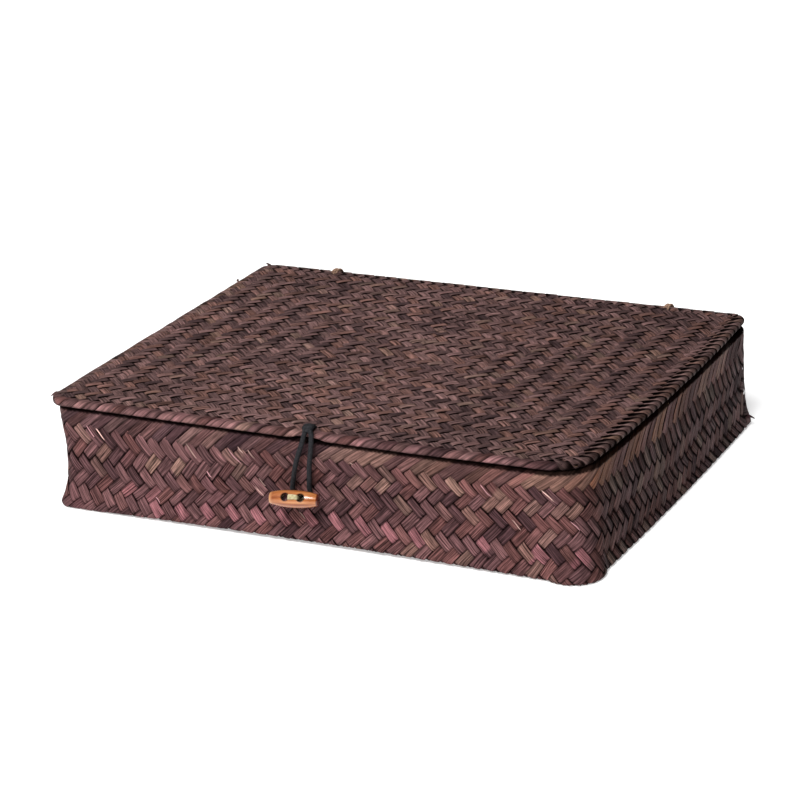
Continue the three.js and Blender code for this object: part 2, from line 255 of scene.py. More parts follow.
def arc_rows(v0, cx, cz, r, a0, a1, n=8):
    """profile rows round a centre: offset cx + r cos a, z cz + r sin a"""
    rows = []
    for i in range(n + 1):
        a = a0 + (a1 - a0) * i / n
        rows.append([v0 + r * abs(a1 - a0) * i / n, cx + r * math.cos(a), cz + r * math.sin(a), math.cos(a), math.sin(a)])
    return rows


# ------------------------------------------------------------ strip sweeping
PROFILE = {
    7: np.array([-1, -.84, -.45, 0, .45, .84, 1]),
    6: np.array([-1, -.8, -.28, .28, .8, 1]),
    5: np.array([-1, -.7, 0, .7, 1]),
    4: np.array([-1, -.55, .55, 1]),
}


def strip(mesh, surf, U, V, H, W, sid, colour, C=6, crown=0.05, edge=0.12, tilt=0.0, lower=0.0, line=0.55, lo_from=0.15, by_v=None):
    """one flat strip along the centreline (U, V) of a surface; line paints shade along both edges, lower paints a
    shadow along only the one on the right of its run, by_v shades every point by its own V
    """
    t = PROFILE[C]
    dU, dV = np.gradient(U), np.gradient(V)
    l = np.hypot(dU, dV)
    lu, lv = -dV / l, dU / l
    s = np.concatenate([[0], np.cumsum(np.hypot(np.diff(U), np.diff(V)))])
    Ug = U[:, None] + t * (W * lu)[:, None]
    Vg = V[:, None] + t * (W * lv)[:, None]
    Hg = H[:, None] + crown * (1 - t ** 2) - edge * np.abs(t) ** 8 + (tilt * np.ones_like(H))[:, None] * t
    P, N = surf(Ug, Vg)
    st = np.stack([np.broadcast_to((s + sid * 37.0)[:, None], Ug.shape), t * W[:, None], np.full(Ug.shape, sid * 7.31)], -1)
    line, lower = [np.broadcast_to(np.asarray(k_, float), H.shape)[:, None] for k_ in (line, lower)]
    # painted shade along both edges and a painted shadow along one side
    k = (1 - line * smooth(np.abs(t), 0.78, 1.0)) * (1 - lower * smooth(-t, lo_from, 1.0))
    if by_v is not None:
        k = k * by_v(Vg)
    col = colour[:, None, :] * k[..., None]
    mesh.grid(P + N * Hg[..., None], st, col, N)


def samples(q0, q1, s_of, dense=True):
    """stations along a strip, closer together where it passes from over to under"""
    out = [q0]
    k0, k1 = math.floor(q0), math.ceil(q1)
    for k in range(k0, k1 + 1):
        same = s_of(k) == s_of(k + 1)
        if same and s_of(k) < 0:
            fr = (0.0, 0.5)
        elif same:
            fr = (0.0, 0.33, 0.67)
        else:
            fr = (0.0, 0.26, 0.4, 0.5, 0.62, 0.78) if dense else (0.0, 0.3, 0.7)
        for f in fr:
            q = k + f
            if q0 < q < q1:
                out.append(q)
    out.append(q1)
    return np.array(out)


def height(q, s_of, amp, arch=0.12, early=False):
    k = np.floor(q).astype(int)
    a = np.array([s_of(i) for i in k], float)
    b = np.array([s_of(i + 1) for i in k], float)
    f = smooth(q - k, 0.24, 0.76)
    if early:                    # the far end sinks gently, well before it goes under
        f = np.where(b < a, smooth(q - k, 0.10, 0.84), f)
    h = a + (b - a) * f
    return amp * h + arch * np.clip(h, 0, 1) * np.where(a == b, 1, 0.0)


# ------------------------------------------------------------- strip colours
ALB = 1.30                       # leaf reflectance against its look under the studio lights
ALB_W = 0.86                     # the same for the walls, which are darker leaf


def palette(kind):
    """base, lighter, pink, tan, dark, reddish"""
    if kind == "outer":
        return [lin(86, 59, 61) * ALB_W, lin(120, 84, 84) * ALB_W, lin(140, 90, 95) * ALB_W, lin(132, 102, 91) * ALB_W, lin(60, 41, 44) * ALB_W, lin(104, 65, 60) * ALB_W]
    if kind == "lid":
        return [lin(74, 55, 54) * ALB, lin(118, 89, 86) * ALB, lin(140, 100, 96) * ALB, lin(124, 100, 86) * ALB, lin(52, 38, 39) * ALB, lin(106, 74, 64) * ALB]
    if kind == "inner":
        return [lin(150, 116, 92), lin(160, 122, 98), lin(172, 134, 108), lin(166, 138, 108), lin(126, 96, 78), lin(146, 108, 82)]
    if kind == "claw":
        return [lin(92, 70, 68) * ALB, lin(122, 96, 92) * ALB, lin(134, 100, 96) * ALB, lin(134, 104, 86) * ALB, lin(60, 46, 46) * ALB, lin(108, 78, 66) * ALB]
    if kind == "border":
        return [lin(88, 61, 61) * ALB, lin(126, 90, 85) * ALB, lin(140, 98, 96) * ALB, lin(158, 122, 106) * ALB, lin(62, 42, 44) * ALB, lin(112, 71, 64) * ALB]
    return [lin(82, 56, 57) * ALB_W, lin(118, 83, 79) * ALB_W, lin(138, 93, 94) * ALB_W, lin(144, 110, 94) * ALB_W, lin(56, 39, 41) * ALB_W, lin(106, 70, 63) * ALB_W]


def strip_colour(kind, sid, fid, along, extra=0.0, seed=0, warm_up=0.0):
    """colour along a strip: one tone for the strip, one for each visible float, slow drift along it"""
    p = palette(kind)
    w1 = hash01(sid, 0, seed + 1)
    w2 = hash01(sid, fid, seed + 2)
    w3 = hash01(sid, fid, seed + 3)
    drift = value_noise(along / 31.0 + w1 * 97, seed + 5) * 0.5 + 0.5
    mix = np.clip(0.10 + (0.65 if kind == "lid" else 0.9) * (w2 - 0.15) + 0.3 * (drift - 0.5) + 0.4 * extra, 0, 1)[:, None]
    c = p[0] * (1 - mix) + p[1] * mix
    dark = (smooth(hash01(sid, fid, seed + 6), 0.62, 0.95) * (1 - np.clip(extra, 0, 1)))[:, None]
    c = c * (1 - 0.75 * dark) + p[4] * 0.75 * dark
    warm = smooth(hash01(sid, fid, seed + 7) + warm_up, 0.6, 0.95)[:, None]
    c = c * (1 - 0.55 * warm) + p[5] * 0.55 * warm
    tan = (smooth(hash01(sid, fid, seed + 4) + 0.3 * warm_up, 0.88, 0.99) * (1 - np.clip(extra, 0, 1)))[:, None]
    tan = tan * (0.35 if kind == "lid" else 0.5)
    c = c * (1 - tan) + p[3] * tan
    pink = smooth(w3 * 0.96 + extra * 0.95, 0.90, 1.1)[:, None]
    c = c * (1 - 0.8 * pink) + p[2] * 0.8 * pink
    return c * (0.90 + 0.20 * w1)


def weave(mesh, surf, cells, q_range, a_ids, b_ids, centre_a, centre_b, top_a, width, amp, kind, seed,
          C=6, dense=True, extra=None, shade=None, wobble=0.25, mark=None, warm=None, gap=0.16, dive=-0.35, ends=None, lines=None):
    """both families of strips of a bias-plaited mat.
    centre_a(q, a) and centre_b(q, b) give the domain point; cells(q, id, family) the lattice pair; top_a(m, n) says which is on top"""
    for fam, ids, centre in ((0, a_ids, centre_a), (1, b_ids, centre_b)):
        for i in ids:
            r = q_range(i, fam)
            if r is None:
                continue
            q0, q1 = r

            def s_of(k, i=i, fam=fam):
                m_, n_ = cells(k, i, fam)
                return 1 if bool(top_a(m_, n_)) == (fam == 0) else -1
            q = samples(q0, q1, s_of, dense)
            if len(q) < 3:
                continue
            U, V = centre(q, i)
            U, V = np.asarray(U, float), np.asarray(V, float)
            sid = i * 2 + fam + 1000
            h = height(q, s_of, amp, early=ends is not None and fam == 1)
            h = h + 0.08 * value_noise(q * 0.9 + i * 3.1, seed + 11)
            dU, dV = np.gradient(U), np.gradient(V)
            l = np.hypot(dU, dV)
            off = wobble * value_noise(q * 0.35 + i * 5.7, seed + 13)
            U = U - dV / l * off
            V = V + dU / l * off
            over = h / amp
            wr = 0.955 + 0.05 * hash01(i, fam, seed + 17)
            W = width(q, U, V) * wr * (0.95 + 0.05 * np.clip(over, -1, 1) + 0.02 * value_noise(q * 1.3 + i, seed + 19))
            # one number for each run of crossings over or under
            ka, kb = math.floor(q0) - 1, math.ceil(q1) + 2
            run = np.cumsum([0] + [int(s_of(k) != s_of(k - 1)) for k in range(ka + 1, kb + 1)])
            fid = run[(np.round(q).astype(int) - ka)] + ka // 2
            ex = 0.0 if extra is None else extra(q, i, fam, U, V)
            wm = 0.0 if warm is None else warm(U, V)
            col = strip_colour(kind, sid, fid, q * 5.9, ex, seed, wm)
            if mark is not None:
                col = mark(col, U, V, fam)
            # painted shade where the strip dips under the other family, darkest at gap
            if ends is None:
                dv = dive(U) if callable(dive) else dive
                col = col * (gap + (1 - gap) * smooth((over - dv) / (0.95 - dv), 0, 1))[:, None]
            else:
                d_lo, g_lo, d_hi, g_hi = ends[fam]
                far = smooth(-np.gradient(h, q), -0.05, 0.05)
                f_lo = g_lo + (1 - g_lo) * smooth((over - d_lo) / (0.95 - d_lo), 0, 1)
                f_hi = g_hi + (1 - g_hi) * smooth((over - d_hi) / (0.95 - d_hi), 0, 1)
                col = col * (f_lo * (1 - far) + f_hi * far)[:, None]
            if shade is not None:
                col = col * shade(U, V).reshape(len(U), -1)
            tilt = 0.22 * (hash01(i, fid, seed + 23) - 0.5)
            if ends is not None:
                tilt = 0.5 * tilt - (0.12 if fam == 0 else 0.0)      # the near edge stands over what it covers
            ln, lw, lf, wf = (0.55, 0.0, 0.15, 1.0) if lines is None else lines(fam, U, over)
            strip(mesh, surf, U, V, h, W * wf, sid % 997, col, C=C, tilt=tilt, line=ln, lower=lw, lo_from=lf)


def backing(mesh, surf, U, V, h, colour):
    Ug, Vg = np.meshgrid(U, V, indexing="ij")
    P, N = surf(Ug, Vg)
    st = np.stack([Ug, Vg, 0 * Ug], -1)
    mesh.grid(P + N * (np.zeros(Ug.shape) + h)[..., None], st, np.broadcast_to(colour, P.shape), N)


# ---------------------------------------------------------------- materials
def node(nt, kind, **inputs):
    n = nt.nodes.new(kind)
    for k, v in inputs.items():
        n.inputs[k].default_value = v
    return n


def leaf_material(name, rough=0.58, coat=0.0, spec=0.06, bump=0.6, contrast=1.0):
    """dyed leaf strip: tint from the strip, lengthwise fibre streaks, fine ridges"""
    mat = bpy.data.materials.new(name)
    mat.use_nodes = True
    nt = mat.node_tree
    nt.nodes.clear()
    out = nt.nodes.new("ShaderNodeOutputMaterial")
    bs = nt.nodes.new("ShaderNodeBsdfPrincipled")
    bs.inputs["Specular IOR Level"].default_value = spec
    nt.links.new(bs.outputs[0], out.inputs[0])
    tint = nt.nodes.new("ShaderNodeAttribute"); tint.attribute_name = "tint"
    st = nt.nodes.new("ShaderNodeAttribute"); st.attribute_name = "strip"

    def streak(sx, sy, detail, rough_):
        mul = nt.nodes.new("ShaderNodeVectorMath"); mul.operation = "MULTIPLY"
        mul.inputs[1].default_value = (sx, sy, 1.0)
        nt.links.new(st.outputs["Vector"], mul.inputs[0])
        nz = nt.nodes.new("ShaderNodeTexNoise")
        nz.inputs["Scale"].default_value = 1.0
        nz.inputs["Detail"].default_value = detail
        nz.inputs["Roughness"].default_value = rough_
        nt.links.new(mul.outputs[0], nz.inputs["Vector"])
        return nz
    n1 = streak(0.045, 1.5, 2.0, 0.6)
    n2 = streak(0.10, 3.4, 1.0, 0.5)
    n3 = streak(0.22, 0.30, 3.0, 0.55)
    r1 = nt.nodes.new("ShaderNodeMapRange")
    r1.inputs["From Min"].default_value = 0.36; r1.inputs["From Max"].default_value = 0.64
    r1.inputs["To Min"].default_value = 1 - contrast * 0.66; r1.inputs["To Max"].default_value = 1 + contrast * 0.72
    nt.links.new(n1.outputs["Fac"], r1.inputs["Value"])
    r2 = nt.nodes.new("ShaderNodeMapRange")
    r2.inputs["From Min"].default_value = 0.36; r2.inputs["From Max"].default_value = 0.64
    r2.inputs["To Min"].default_value = 1 - contrast * 0.42; r2.inputs["To Max"].default_value = 1 + contrast * 0.42
    nt.links.new(n2.outputs["Fac"], r2.inputs["Value"])
    r3 = nt.nodes.new("ShaderNodeMapRange")
    r3.inputs["From Min"].default_value = 0.35; r3.inputs["From Max"].default_value = 0.75
    r3.inputs["To Min"].default_value = 0.86; r3.inputs["To Max"].default_value = 1.16
    nt.links.new(n3.outputs["Fac"], r3.inputs["Value"])
    m1 = nt.nodes.new("ShaderNodeMath"); m1.operation = "MULTIPLY"
    nt.links.new(r1.outputs[0], m1.inputs[0]); nt.links.new(r2.outputs[0], m1.inputs[1])
    m2 = nt.nodes.new("ShaderNodeMath"); m2.operation = "MULTIPLY"
    nt.links.new(m1.outputs[0], m2.inputs[0]); nt.links.new(r3.outputs[0], m2.inputs[1])
    sc = nt.nodes.new("ShaderNodeVectorMath"); sc.operation = "SCALE"
    nt.links.new(tint.outputs["Color"], sc.inputs[0]); nt.links.new(m2.outputs[0], sc.inputs["Scale"])
    nt.links.new(sc.outputs[0], bs.inputs["Base Color"])
    rr = nt.nodes.new("ShaderNodeMapRange")
    rr.inputs["From Min"].default_value = 0.3; rr.inputs["From Max"].default_value = 0.7
    rr.inputs["To Min"].default_value = rough + 0.12; rr.inputs["To Max"].default_value = rough - 0.10
    nt.links.new(n1.outputs["Fac"], rr.inputs["Value"])
    nt.links.new(rr.outputs[0], bs.inputs["Roughness"])
    sp = nt.nodes.new("ShaderNodeMapRange")
    sp.inputs["From Min"].default_value = 0.004; sp.inputs["From Max"].default_value = 0.06
    sp.inputs["To Min"].default_value = 0.0; sp.inputs["To Max"].default_value = spec
    nt.links.new(tint.outputs["Fac"], sp.inputs["Value"])
    nt.links.new(sp.outputs[0], bs.inputs["Specular IOR Level"])
    bp = nt.nodes.new("ShaderNodeBump")
    bp.inputs["Strength"].default_value = bump
    bp.inputs["Distance"].default_value = 0.0002
    nt.links.new(m1.outputs[0], bp.inputs["Height"])
    nt.links.new(bp.outputs[0], bs.inputs["Normal"])
    return mat


MAT_OUTER = leaf_material("plaited_leaf_outer")
MAT_LID = leaf_material("plaited_leaf_lid", rough=0.60, contrast=1.15)
MAT_FOLD = leaf_material("folded_leaf_rim", rough=0.55, contrast=0.72)
MAT_BORDER = leaf_material("wrapped_leaf_border", rough=0.52, contrast=0.62)
MAT_INNER = leaf_material("plaited_leaf_lining", rough=0.6, spec=0.12, contrast=0.7)

# near-black sheet colour under the strips: painted shade in the gaps between them
GAP_SHADE_DARK = lin(34, 24, 24)
LINING_BACK = lin(104, 78, 61)

# ------------------------------------------------------------- outer walls
IN = 1.75
r = 1.5
ZC = 2.5                         # centre of the bottom rounding
table = []
for v in (-12.0,):
    table.append([v, -IN - r - (0.14 - v), ZC - r, 0, -1])
table += arc_rows(0.14, -IN - r, ZC, r, -math.pi / 2, 0)
table += [[66, -IN, 66, 1, 0]]
N_COLS = 143
HU = BODY["L"] / (2 * N_COLS)
HV = 4.25
V0 = 39.6
U00 = -0.1 - 13.5 * HU
U0 = U00
while U0 < 0:
    U0 += 2 * HU
TOP_M = (64.0 - V0) / HV

# how far each row of the plait sags, along the front (by x) and along the right (by y)
SAG_F = [[(-175, 0), (-150, -1), (-118, -4.0), (-90, -5.2), (-60, -4.6), (-33, -1.0), (0, 0), (50, 0), (85, -1.7), (95, -2.5), (112, -1.7), (130, 0), (150, .3)],
         [(-175, -3), (-147, -4.7), (-130, -6.5), (-117, -8.2), (-85, -8.4), (-65, -6.5), (-50, -4), (-40, -2.4), (10, .8), (33, .8), (55, -.7), (75, -1.5), (100, -1.5), (130, 0), (150, .3)],
         [(-175, -4), (-148, -5.2), (-98, -8.7), (-82, -7.7), (-66, -5), (-50, -3.7), (-33, -3.5), (-15, -2), (2, 0), (17, 0), (33, -.7), (48, -2), (66, -2.7), (107, -2), (137, -2), (148, 1)]]
SAG_R = [[(-125, -3), (-108, -5.7), (-90, -6.3), (-40, -9), (-10, -11), (30, -7.5), (50, -6.3), (95, -7), (124, -5)],
         [(-125, -4), (-105, -8), (-70, -10.5), (-45, -11.3), (-10, -15), (20, -13.5), (50, -9), (124, -8)],
         [(-125, -6), (-105, -11), (-60, -12), (-10, -14), (50, -11.5), (124, -10)]]
SAG_F, SAG_R = [[np.array(t_, float) for t_ in tt] for tt in (SAG_F, SAG_R)]


def sag(x, y, V):
    """upward displacement of the plait's rows at a place on the wall"""
    wr_ = smooth(x + y, 12, 62)
    wf_ = (1 - wr_) * smooth(-y, 60, 124) * (1 - smooth(-x + y, 24, 70))
    wr_ = wr_ * smooth(x, 120, 160) * (1 - smooth(y, 112, 132))
    knots = []
    for k in range(3):
        f_ = np.interp(x, SAG_F[k][:, 0], SAG_F[k][:, 1]) - 1.0
        r_ = np.interp(y, SAG_R[k][:, 0], SAG_R[k][:, 1]) - 0.6
        rest = -1.5 + 1.6 * value_noise((x - y) / 70 + 5 * k, 301)
        knots.append(wf_ * f_ + wr_ * r_ + (1 - wf_ - wr_) * rest)
    a_ = np.clip((V - 16.2) / 17, 0, 1)
    b_ = np.clip((V - 33.2) / 17, 0, 1)
    d = knots[2] + (knots[1] - knots[2]) * a_ + (knots[0] - knots[1]) * b_
    return d * (1 - smooth(V, 49.0, 57.5)) * smooth(V, -12, -1)


wall = profile_surface(BODY, table, sag)


def wall_cells(q, i, fam):
    return (q, q + 2 * i) if fam == 0 else (q, 2 * i - q)


def signed_x(U):
    u = np.mod(U, BODY["L"])
    return np.where(u > BODY["L"] / 2, u - BODY["L"], u)


def wall_extra(q, i, fam, U, V):
    x = signed_x(U)
    e = np.zeros_like(V)
    if fam == 1:
        col_ = np.round((x - U00) / (2 * HU) + q / 2).astype(int)
        row3 = (V > 10) & (V < 22.4)
        pick = np.where(x < 78, col_ % 2 == 0, False) | (np.abs(x - 107) < 3.5) | (np.abs(x - 141) < 5) | (np.abs(x - 164) < 4)
        e = 1.3 * (row3 & pick & (x > -112) & (x < 172))
    return e


def wall_warm(U, V):
    """the plait turns from mauve to brown towards the right of the front"""
    x = signed_x(U)
    return 0.30 * smooth(x, 20, 120) * (1 - smooth(x, 300, 420)) + 0.12 * smooth(V, 30, 55) - 0.05


def to_domain(x, z):
    """wall coordinates of a place seen on the front"""
    V_ = z
    for _ in range(12):
        V_ = z - float(sag(np.array(float(x)), np.array(-135.0), np.array(float(V_))))
    return x, V_


# single floats that stand out: x, height, family, palette entry, strength
MARKS = [(-104, 36, 0, 3, .9), (-86, 36, 0, 3, .8), (48, 41, 0, 3, .8), (-122, 17, 0, 2, .7), (-105, 16, 0, 2, .6), (93, 47, 1, 3, .9), (122, 45, 1, 3, .7), (-48, 50, 1, 3, .5)]
MARKS = [(*to_domain(x_, z_), f_, c_, w_) for x_, z_, f_, c_, w_ in MARKS]
OUT_PAL = palette("outer")
LIGHT = {3: lin(138, 106, 95) * ALB_W, 2: lin(138, 90, 93) * ALB_W}


def wall_mark(col, U, V, fam):
    x = signed_x(U)
    for mx_, mv_, f_, c_, w_ in MARKS:
        if f_ != fam:
            continue
        d1, d2 = x - mx_, V - mv_
        sg_ = 1 if fam == 0 else -1
        along, across = (d1 * sg_ + d2) * .7071, (d1 - sg_ * d2) * .7071
        w = w_ * (np.abs(across) < 3.0) * (np.abs(along) < 6.0)
        col = col * (1 - w)[:, None] + LIGHT[c_] * w[:, None]
    return col


def right_side(U):
    u = np.mod(U, BODY["L"])
    return smooth(u, 156, 188) * (1 - smooth(u, 408, 440))


def wall_shade(U, V):
    """darker at the foot of the wall; painted shade darkens the right wall"""
    return (1 - 0.25 * smooth(-V, -3.5, 1.0)) * (1 - 0.48 * right_side(U))


def wall_tint(U, V):
    """the same with the colour of the right wall's light, which is less red"""
    return wall_shade(U, V)[:, None] * (1 + right_side(U)[:, None] * np.array([0.02, 0.17, 0.14]))


def wall_lines(fam, U, over):
    """on the right wall one family lies smooth and the other stands in narrow teeth with open gaps"""
    sd = right_side(U)
    if fam == 0:
        return 0.55 - 0.42 * sd, 0.0, 0.15, 1.0 + 0.02 * sd
    # the second family's teeth carry a painted shadow along one side
    return 0.55 - 0.2 * sd, 0.92 * sd, -0.05, 1 - sd * (0.10 + 0.30 * (1 - smooth(over, 0.2, 1.0)))


walls, walls_b = Mesh(), Mesh()       # one mesh for each family of strips
for mesh_, a_ids, b_ids in ((walls, range(N_COLS), ()), (walls_b, (), range(N_COLS))):
    weave(mesh_, wall, wall_cells,
          lambda i, fam: ((-11.4, 3.7) if fam == 0 else (-11.4, 5.6)),
          a_ids, b_ids,
          lambda q, a: (U0 + (q + 2 * a) * HU, V0 + q * HV),
          lambda q, b: (U0 + (2 * b - q) * HU, V0 + q * HV),
          lambda m_, n_: (m_ % 4) < 2 if m_ < 4 else True,
          lambda q, U, V: np.full(len(q), 2.97), 0.76, "outer", 3, C=6, extra=wall_extra, wobble=0.35,
          mark=wall_mark, warm=wall_warm, shade=wall_tint, gap=0.10,
          dive=lambda U: -0.25 + 0.45 * right_side(U), lines=wall_lines)

# pale slivers standing along the edges of some floats, a painted sheen: x, height, family, half length
SHEEN_SLIVERS = [(-143, 50, 1, 5.2), (-137, 50, 1, 4.2), (-75, 46, 1, 6.0), (-46, 46, 1, 5.5), (-42, 52, 1, 2.5), (-35, 50, 1, 4.2), (112, 47, 1, 4.2),
             (128, 30, 1, 4.2), (149, 50, 1, 5.5), (163, 32, 1, 3.8), (-32, 27, 1, 4.0), (29, 54, 1, 2.2), (-65, 33, 1, 2.6), (-30, 33, 1, 3.0), (-4, 16, 1, 3.4), (-100, 13, 1, 3.5)]
for k, (x_, z_, f_, hl) in enumerate(SHEEN_SLIVERS):
    cx_, cv_ = to_domain(x_ - 1.1, z_)
    t_ = np.linspace(-1, 1, 9)
    U = (cx_ + (t_ * hl * .7071) * (1 if f_ == 0 else -1)) % BODY["L"]
    V = cv_ + t_ * hl * .7071 + 0.25 * np.sin(t_ * 3 + k)
    W = 0.34 * np.sqrt(np.clip(1.02 - t_ ** 2, 0.02, 1))
    c_ = (lin(206, 168, 158) if k % 3 else lin(196, 146, 150)) * (0.85 + 0.15 * hash01(k, 1, 5))
    strip(walls, wall, U, V, 0.98 - 0.25 * t_ ** 2, W, 500 + k, np.broadcast_to(c_, (9, 3)), C=4, crown=0.12, edge=0.05, line=0.2)

# a stray strip end at the foot of the back right corner
sx = np.linspace(0, 1, 7)
Pa = np.array([169.6, 124.5, 6.6]) + sx[:, None] * np.array([6.6, 3.4, -2.2]) + np.sin(sx * 3.1)[:, None] * np.array([0.3, -0.2, 0.9])
wv = (1.5 - 1.1 * sx)[:, None] * np.array([[-0.25, 0.35, 0.9]])
G = np.stack([Pa - wv, Pa - 0.3 * wv, Pa + 0.3 * wv, Pa + wv], 1)
walls.grid(G, np.stack([np.broadcast_to(sx[:, None] * 7, (7, 4)), np.broadcast_to(np.array([-1.5, -.5, .5, 1.5]), (7, 4)), np.zeros((7, 4))], -1), OUT_PAL[4])

bu = np.linspace(0, BODY["L"], 401)
corner = np.abs(np.prod(on_outline(BODY, bu)[2:], axis=0)) * 2
# dark backing sheet: painted shade between the wall's strips
backing(walls, wall, bu, np.concatenate([np.linspace(-10, 3, 10), np.linspace(8, 61, 12)]), (-0.58 + 0.46 * smooth(corner, 0.0, 0.4))[:, None], GAP_SHADE_DARK * 0.8)
for name_, mesh_ in (("outer_wall_weave_a", walls), ("outer_wall_weave_b", walls_b)):
    o = mesh_.build(name_, MAT_OUTER)
    if mesh_ is walls:
        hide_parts("body_outer_weave")
    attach(o, "box")
    print(name_, mesh_.count())


# ------------------------------------------------- flat mats (base, floor…)
def plane(z, sign):
    def surf(U, V):
        P = np.stack([U, V, np.full_like(U, z)], -1)
        N = np.zeros_like(P); N[..., 2] = sign
        return P, N
    return surf


def inside(out, inset, x, y):
    """True where the point lies inside the outline drawn inset"""
    xl, xr, y0, y1, bulge = out["box"]
    XL, XR, F, B = -(xl - inset), xr - inset, y0 + inset, y1 - inset
    rr_ = {k: max(v - inset, 1.2) for k, v in LID_R.items()}
    t = np.clip((y - (F + rr_["fr"])) / ((B - rr_["br"]) - (F + rr_["fr"])), 0, 1)
    ok = (x > XL) & (x < XR + bulge * 4 * t * (1 - t)) & (y > F) & (y < B)
    for key, sx, sy in (("fl", -1, -1), ("fr", 1, -1), ("br", 1, 1), ("bl", -1, 1)):
        rad = rr_[key]
        cx = (XR - rad) if sx > 0 else (XL + rad)
        cy = (F + rad) if sy < 0 else (B - rad)
        corner = ((x - cx) * sx > 0) & ((y - cy) * sy > 0)
        ok &= ~(corner & (np.hypot(x - cx, y - cy) > rad))
    return ok


def flat_mat(mesh, surf, out, inset, kind, seed, X_of, Y_of, top_a, half, amp, C, dense, n_span, m_span, extra=None, shade=None, x_lim=None, right_gap=0.0, front_out=0.0, gap=0.2, dive=-0.35, ends=None, lines=None):
    fine = np.arange(m_span[0], m_span[1], 0.08)

    def centre_a(q, a):
        return X_of(q + 2 * a), Y_of(q)

    def centre_b(q, b):
        return X_of(2 * b - q), Y_of(q)

    def q_range(i, fam):
        x, y = (centre_a if fam == 0 else centre_b)(fine, i)
        ok = inside(out, inset, x + right_gap * (x > 120), y + front_out * (y < -100))
        if x_lim is not None:
            ok &= (x > x_lim[0]) & (x < x_lim[1])
        if ok.sum() < 4:
            return None
        return fine[ok][0], fine[ok][-1]
    lo = int((n_span[0] - m_span[1]) / 2) - 1
    hi = int((n_span[1] + m_span[1]) / 2) + 1
    weave(mesh, surf, lambda q, i, fam: (q, q + 2 * i) if fam == 0 else (q, 2 * i - q),
          q_range, range(lo, hi), range(lo, hi), centre_a, centre_b, top_a,
          half, amp, kind, seed, C=C, dense=dense, extra=extra, shade=shade, gap=gap, dive=dive, ends=ends, lines=lines)


# lid top: ring lattice, four fields meeting on the diagonals
def lid_x(n):
    n = np.asarray(n, float)
    return -0.6 + np.where(n < 0, -30.3 + 4.08 * n, np.where(n > 16, 33.6 + 3.75 * (n - 16), -30.3 + 3.994 * n))


def lid_y(mm):
    mm = np.asarray(mm, float)
    return 0.3 + np.where(mm < 0, 3.57, 3.80) * mm


def lid_ring(m_, n_):
    return max(abs(m_), n_ - 16, -n_)


def lid_top_a(m_, n_):
    return (lid_ring(m_, n_) % 4) >= 2


def lid_half(q, U, V):
    return 2.78 - 0.17 * smooth(U, 25, 60)


# painted light and shade across the lid top: brighter towards the front, darker towards the right, the left and the
# back
def lid_shade(U, V):
    return (1 + 0.07 * smooth(-V, 40, 100)) * (1 - 0.21 * smooth(U, 0, 120)) * (1 - 0.08 * smooth(-U, 40, 140)) * (1 - 0.08 * smooth(V, 20, 120))


# painted shade as a strip dips under: near end and far end, for both families
LID_ENDS = {0: (-0.6, 0.55, 0.0, 0.35), 1: (-0.7, 0.6, 0.30, 0.0)}
TOPZ = 69.3
top = plane(TOPZ, 1)
for part, lim in (("left", (-175, 1.0)), ("right", (1.0, 175))):
    ms = Mesh()

    def cut(lim=lim):
        return lim
    flat_mat(ms, top, LID, 5.0, "lid", 21, lid_x, lid_y, lid_top_a, lid_half, 0.70, 6, True,
             (-38, 54), (-38, 37), x_lim=lim, right_gap=3.4, front_out=2.0, shade=lid_shade, ends=LID_ENDS,
             lines=lambda fam, U, over: (0.25 if fam == 0 else 0.35, 0.0, 0.15, 1.0))
    gx = np.linspace(max(lim[0], -164), min(lim[1], 164), 30)
    # dark backing sheet: painted shade between the lid's strips
    backing(ms, top, gx, np.linspace(-129, 129, 30), -0.85, GAP_SHADE_DARK * 0.6)
    o = ms.build("lid_top_weave_" + part, MAT_LID)
    if part == "left":
        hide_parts("lid_upper_panel")
    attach(o, "lid")
    print("lid_top_weave", part, ms.count())

# lid underside
ms = Mesh()
under = plane(66.9, -1)
flat_mat(ms, under, LID, 6.0, "inner", 41, lambda n: 8.3 / 2 * np.asarray(n, float), lambda mm: 8.3 / 2 * np.asarray(mm, float),
         lambda m_, n_: (m_ % 4) < 2, lambda q, U, V: np.full(len(q), 2.9), 0.42, 4, False, (-40, 40), (-33, 33))
backing(ms, under, np.linspace(-164, 164, 30), np.linspace(-129, 129, 30), -0.6, LINING_BACK)
o = ms.build("lid_under_weave", MAT_INNER)
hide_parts("lid_lower_panel"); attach(o, "lid")
print("lid_under_weave", ms.count())

# base underside
ms = Mesh()
base = plane(0.95, -1)
flat_mat(ms, base, BODY, 7.5, "outer", 51, lambda n: 8.3 / 2 * np.asarray(n, float), lambda mm: 8.3 / 2 * np.asarray(mm, float),
         lambda m_, n_: (m_ % 4) < 2, lambda q, U, V: np.full(len(q), 2.9), 0.45, 4, False, (-40, 40), (-33, 33))
# dark backing sheet: painted shade between the base's strips
backing(ms, base, np.linspace(-160, 160, 30), np.linspace(-126, 125, 30), -0.6, GAP_SHADE_DARK)
o = ms.build("base_weave", MAT_OUTER)
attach(o, "box")
print("base_weave", ms.count())

# lining: floor and walls
ms = Mesh()
floor_in = plane(2.75, 1)
flat_mat(ms, floor_in, BODY, 1.9, "inner", 61, lambda n: 8.3 / 2 * np.asarray(n, float), lambda mm: 8.3 / 2 * np.asarray(mm, float),
         lambda m_, n_: (m_ % 4) < 2, lambda q, U, V: np.full(len(q), 2.9), 0.42, 4, False, (-40, 40), (-33, 33))
backing(ms, floor_in, np.linspace(-165, 166, 30), np.linspace(-131, 130, 30), -0.6, LINING_BACK)
o = ms.build("floor_weave", MAT_INNER)
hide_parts("body_inner_weave"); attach(o, "box")
print("floor_weave", ms.count())

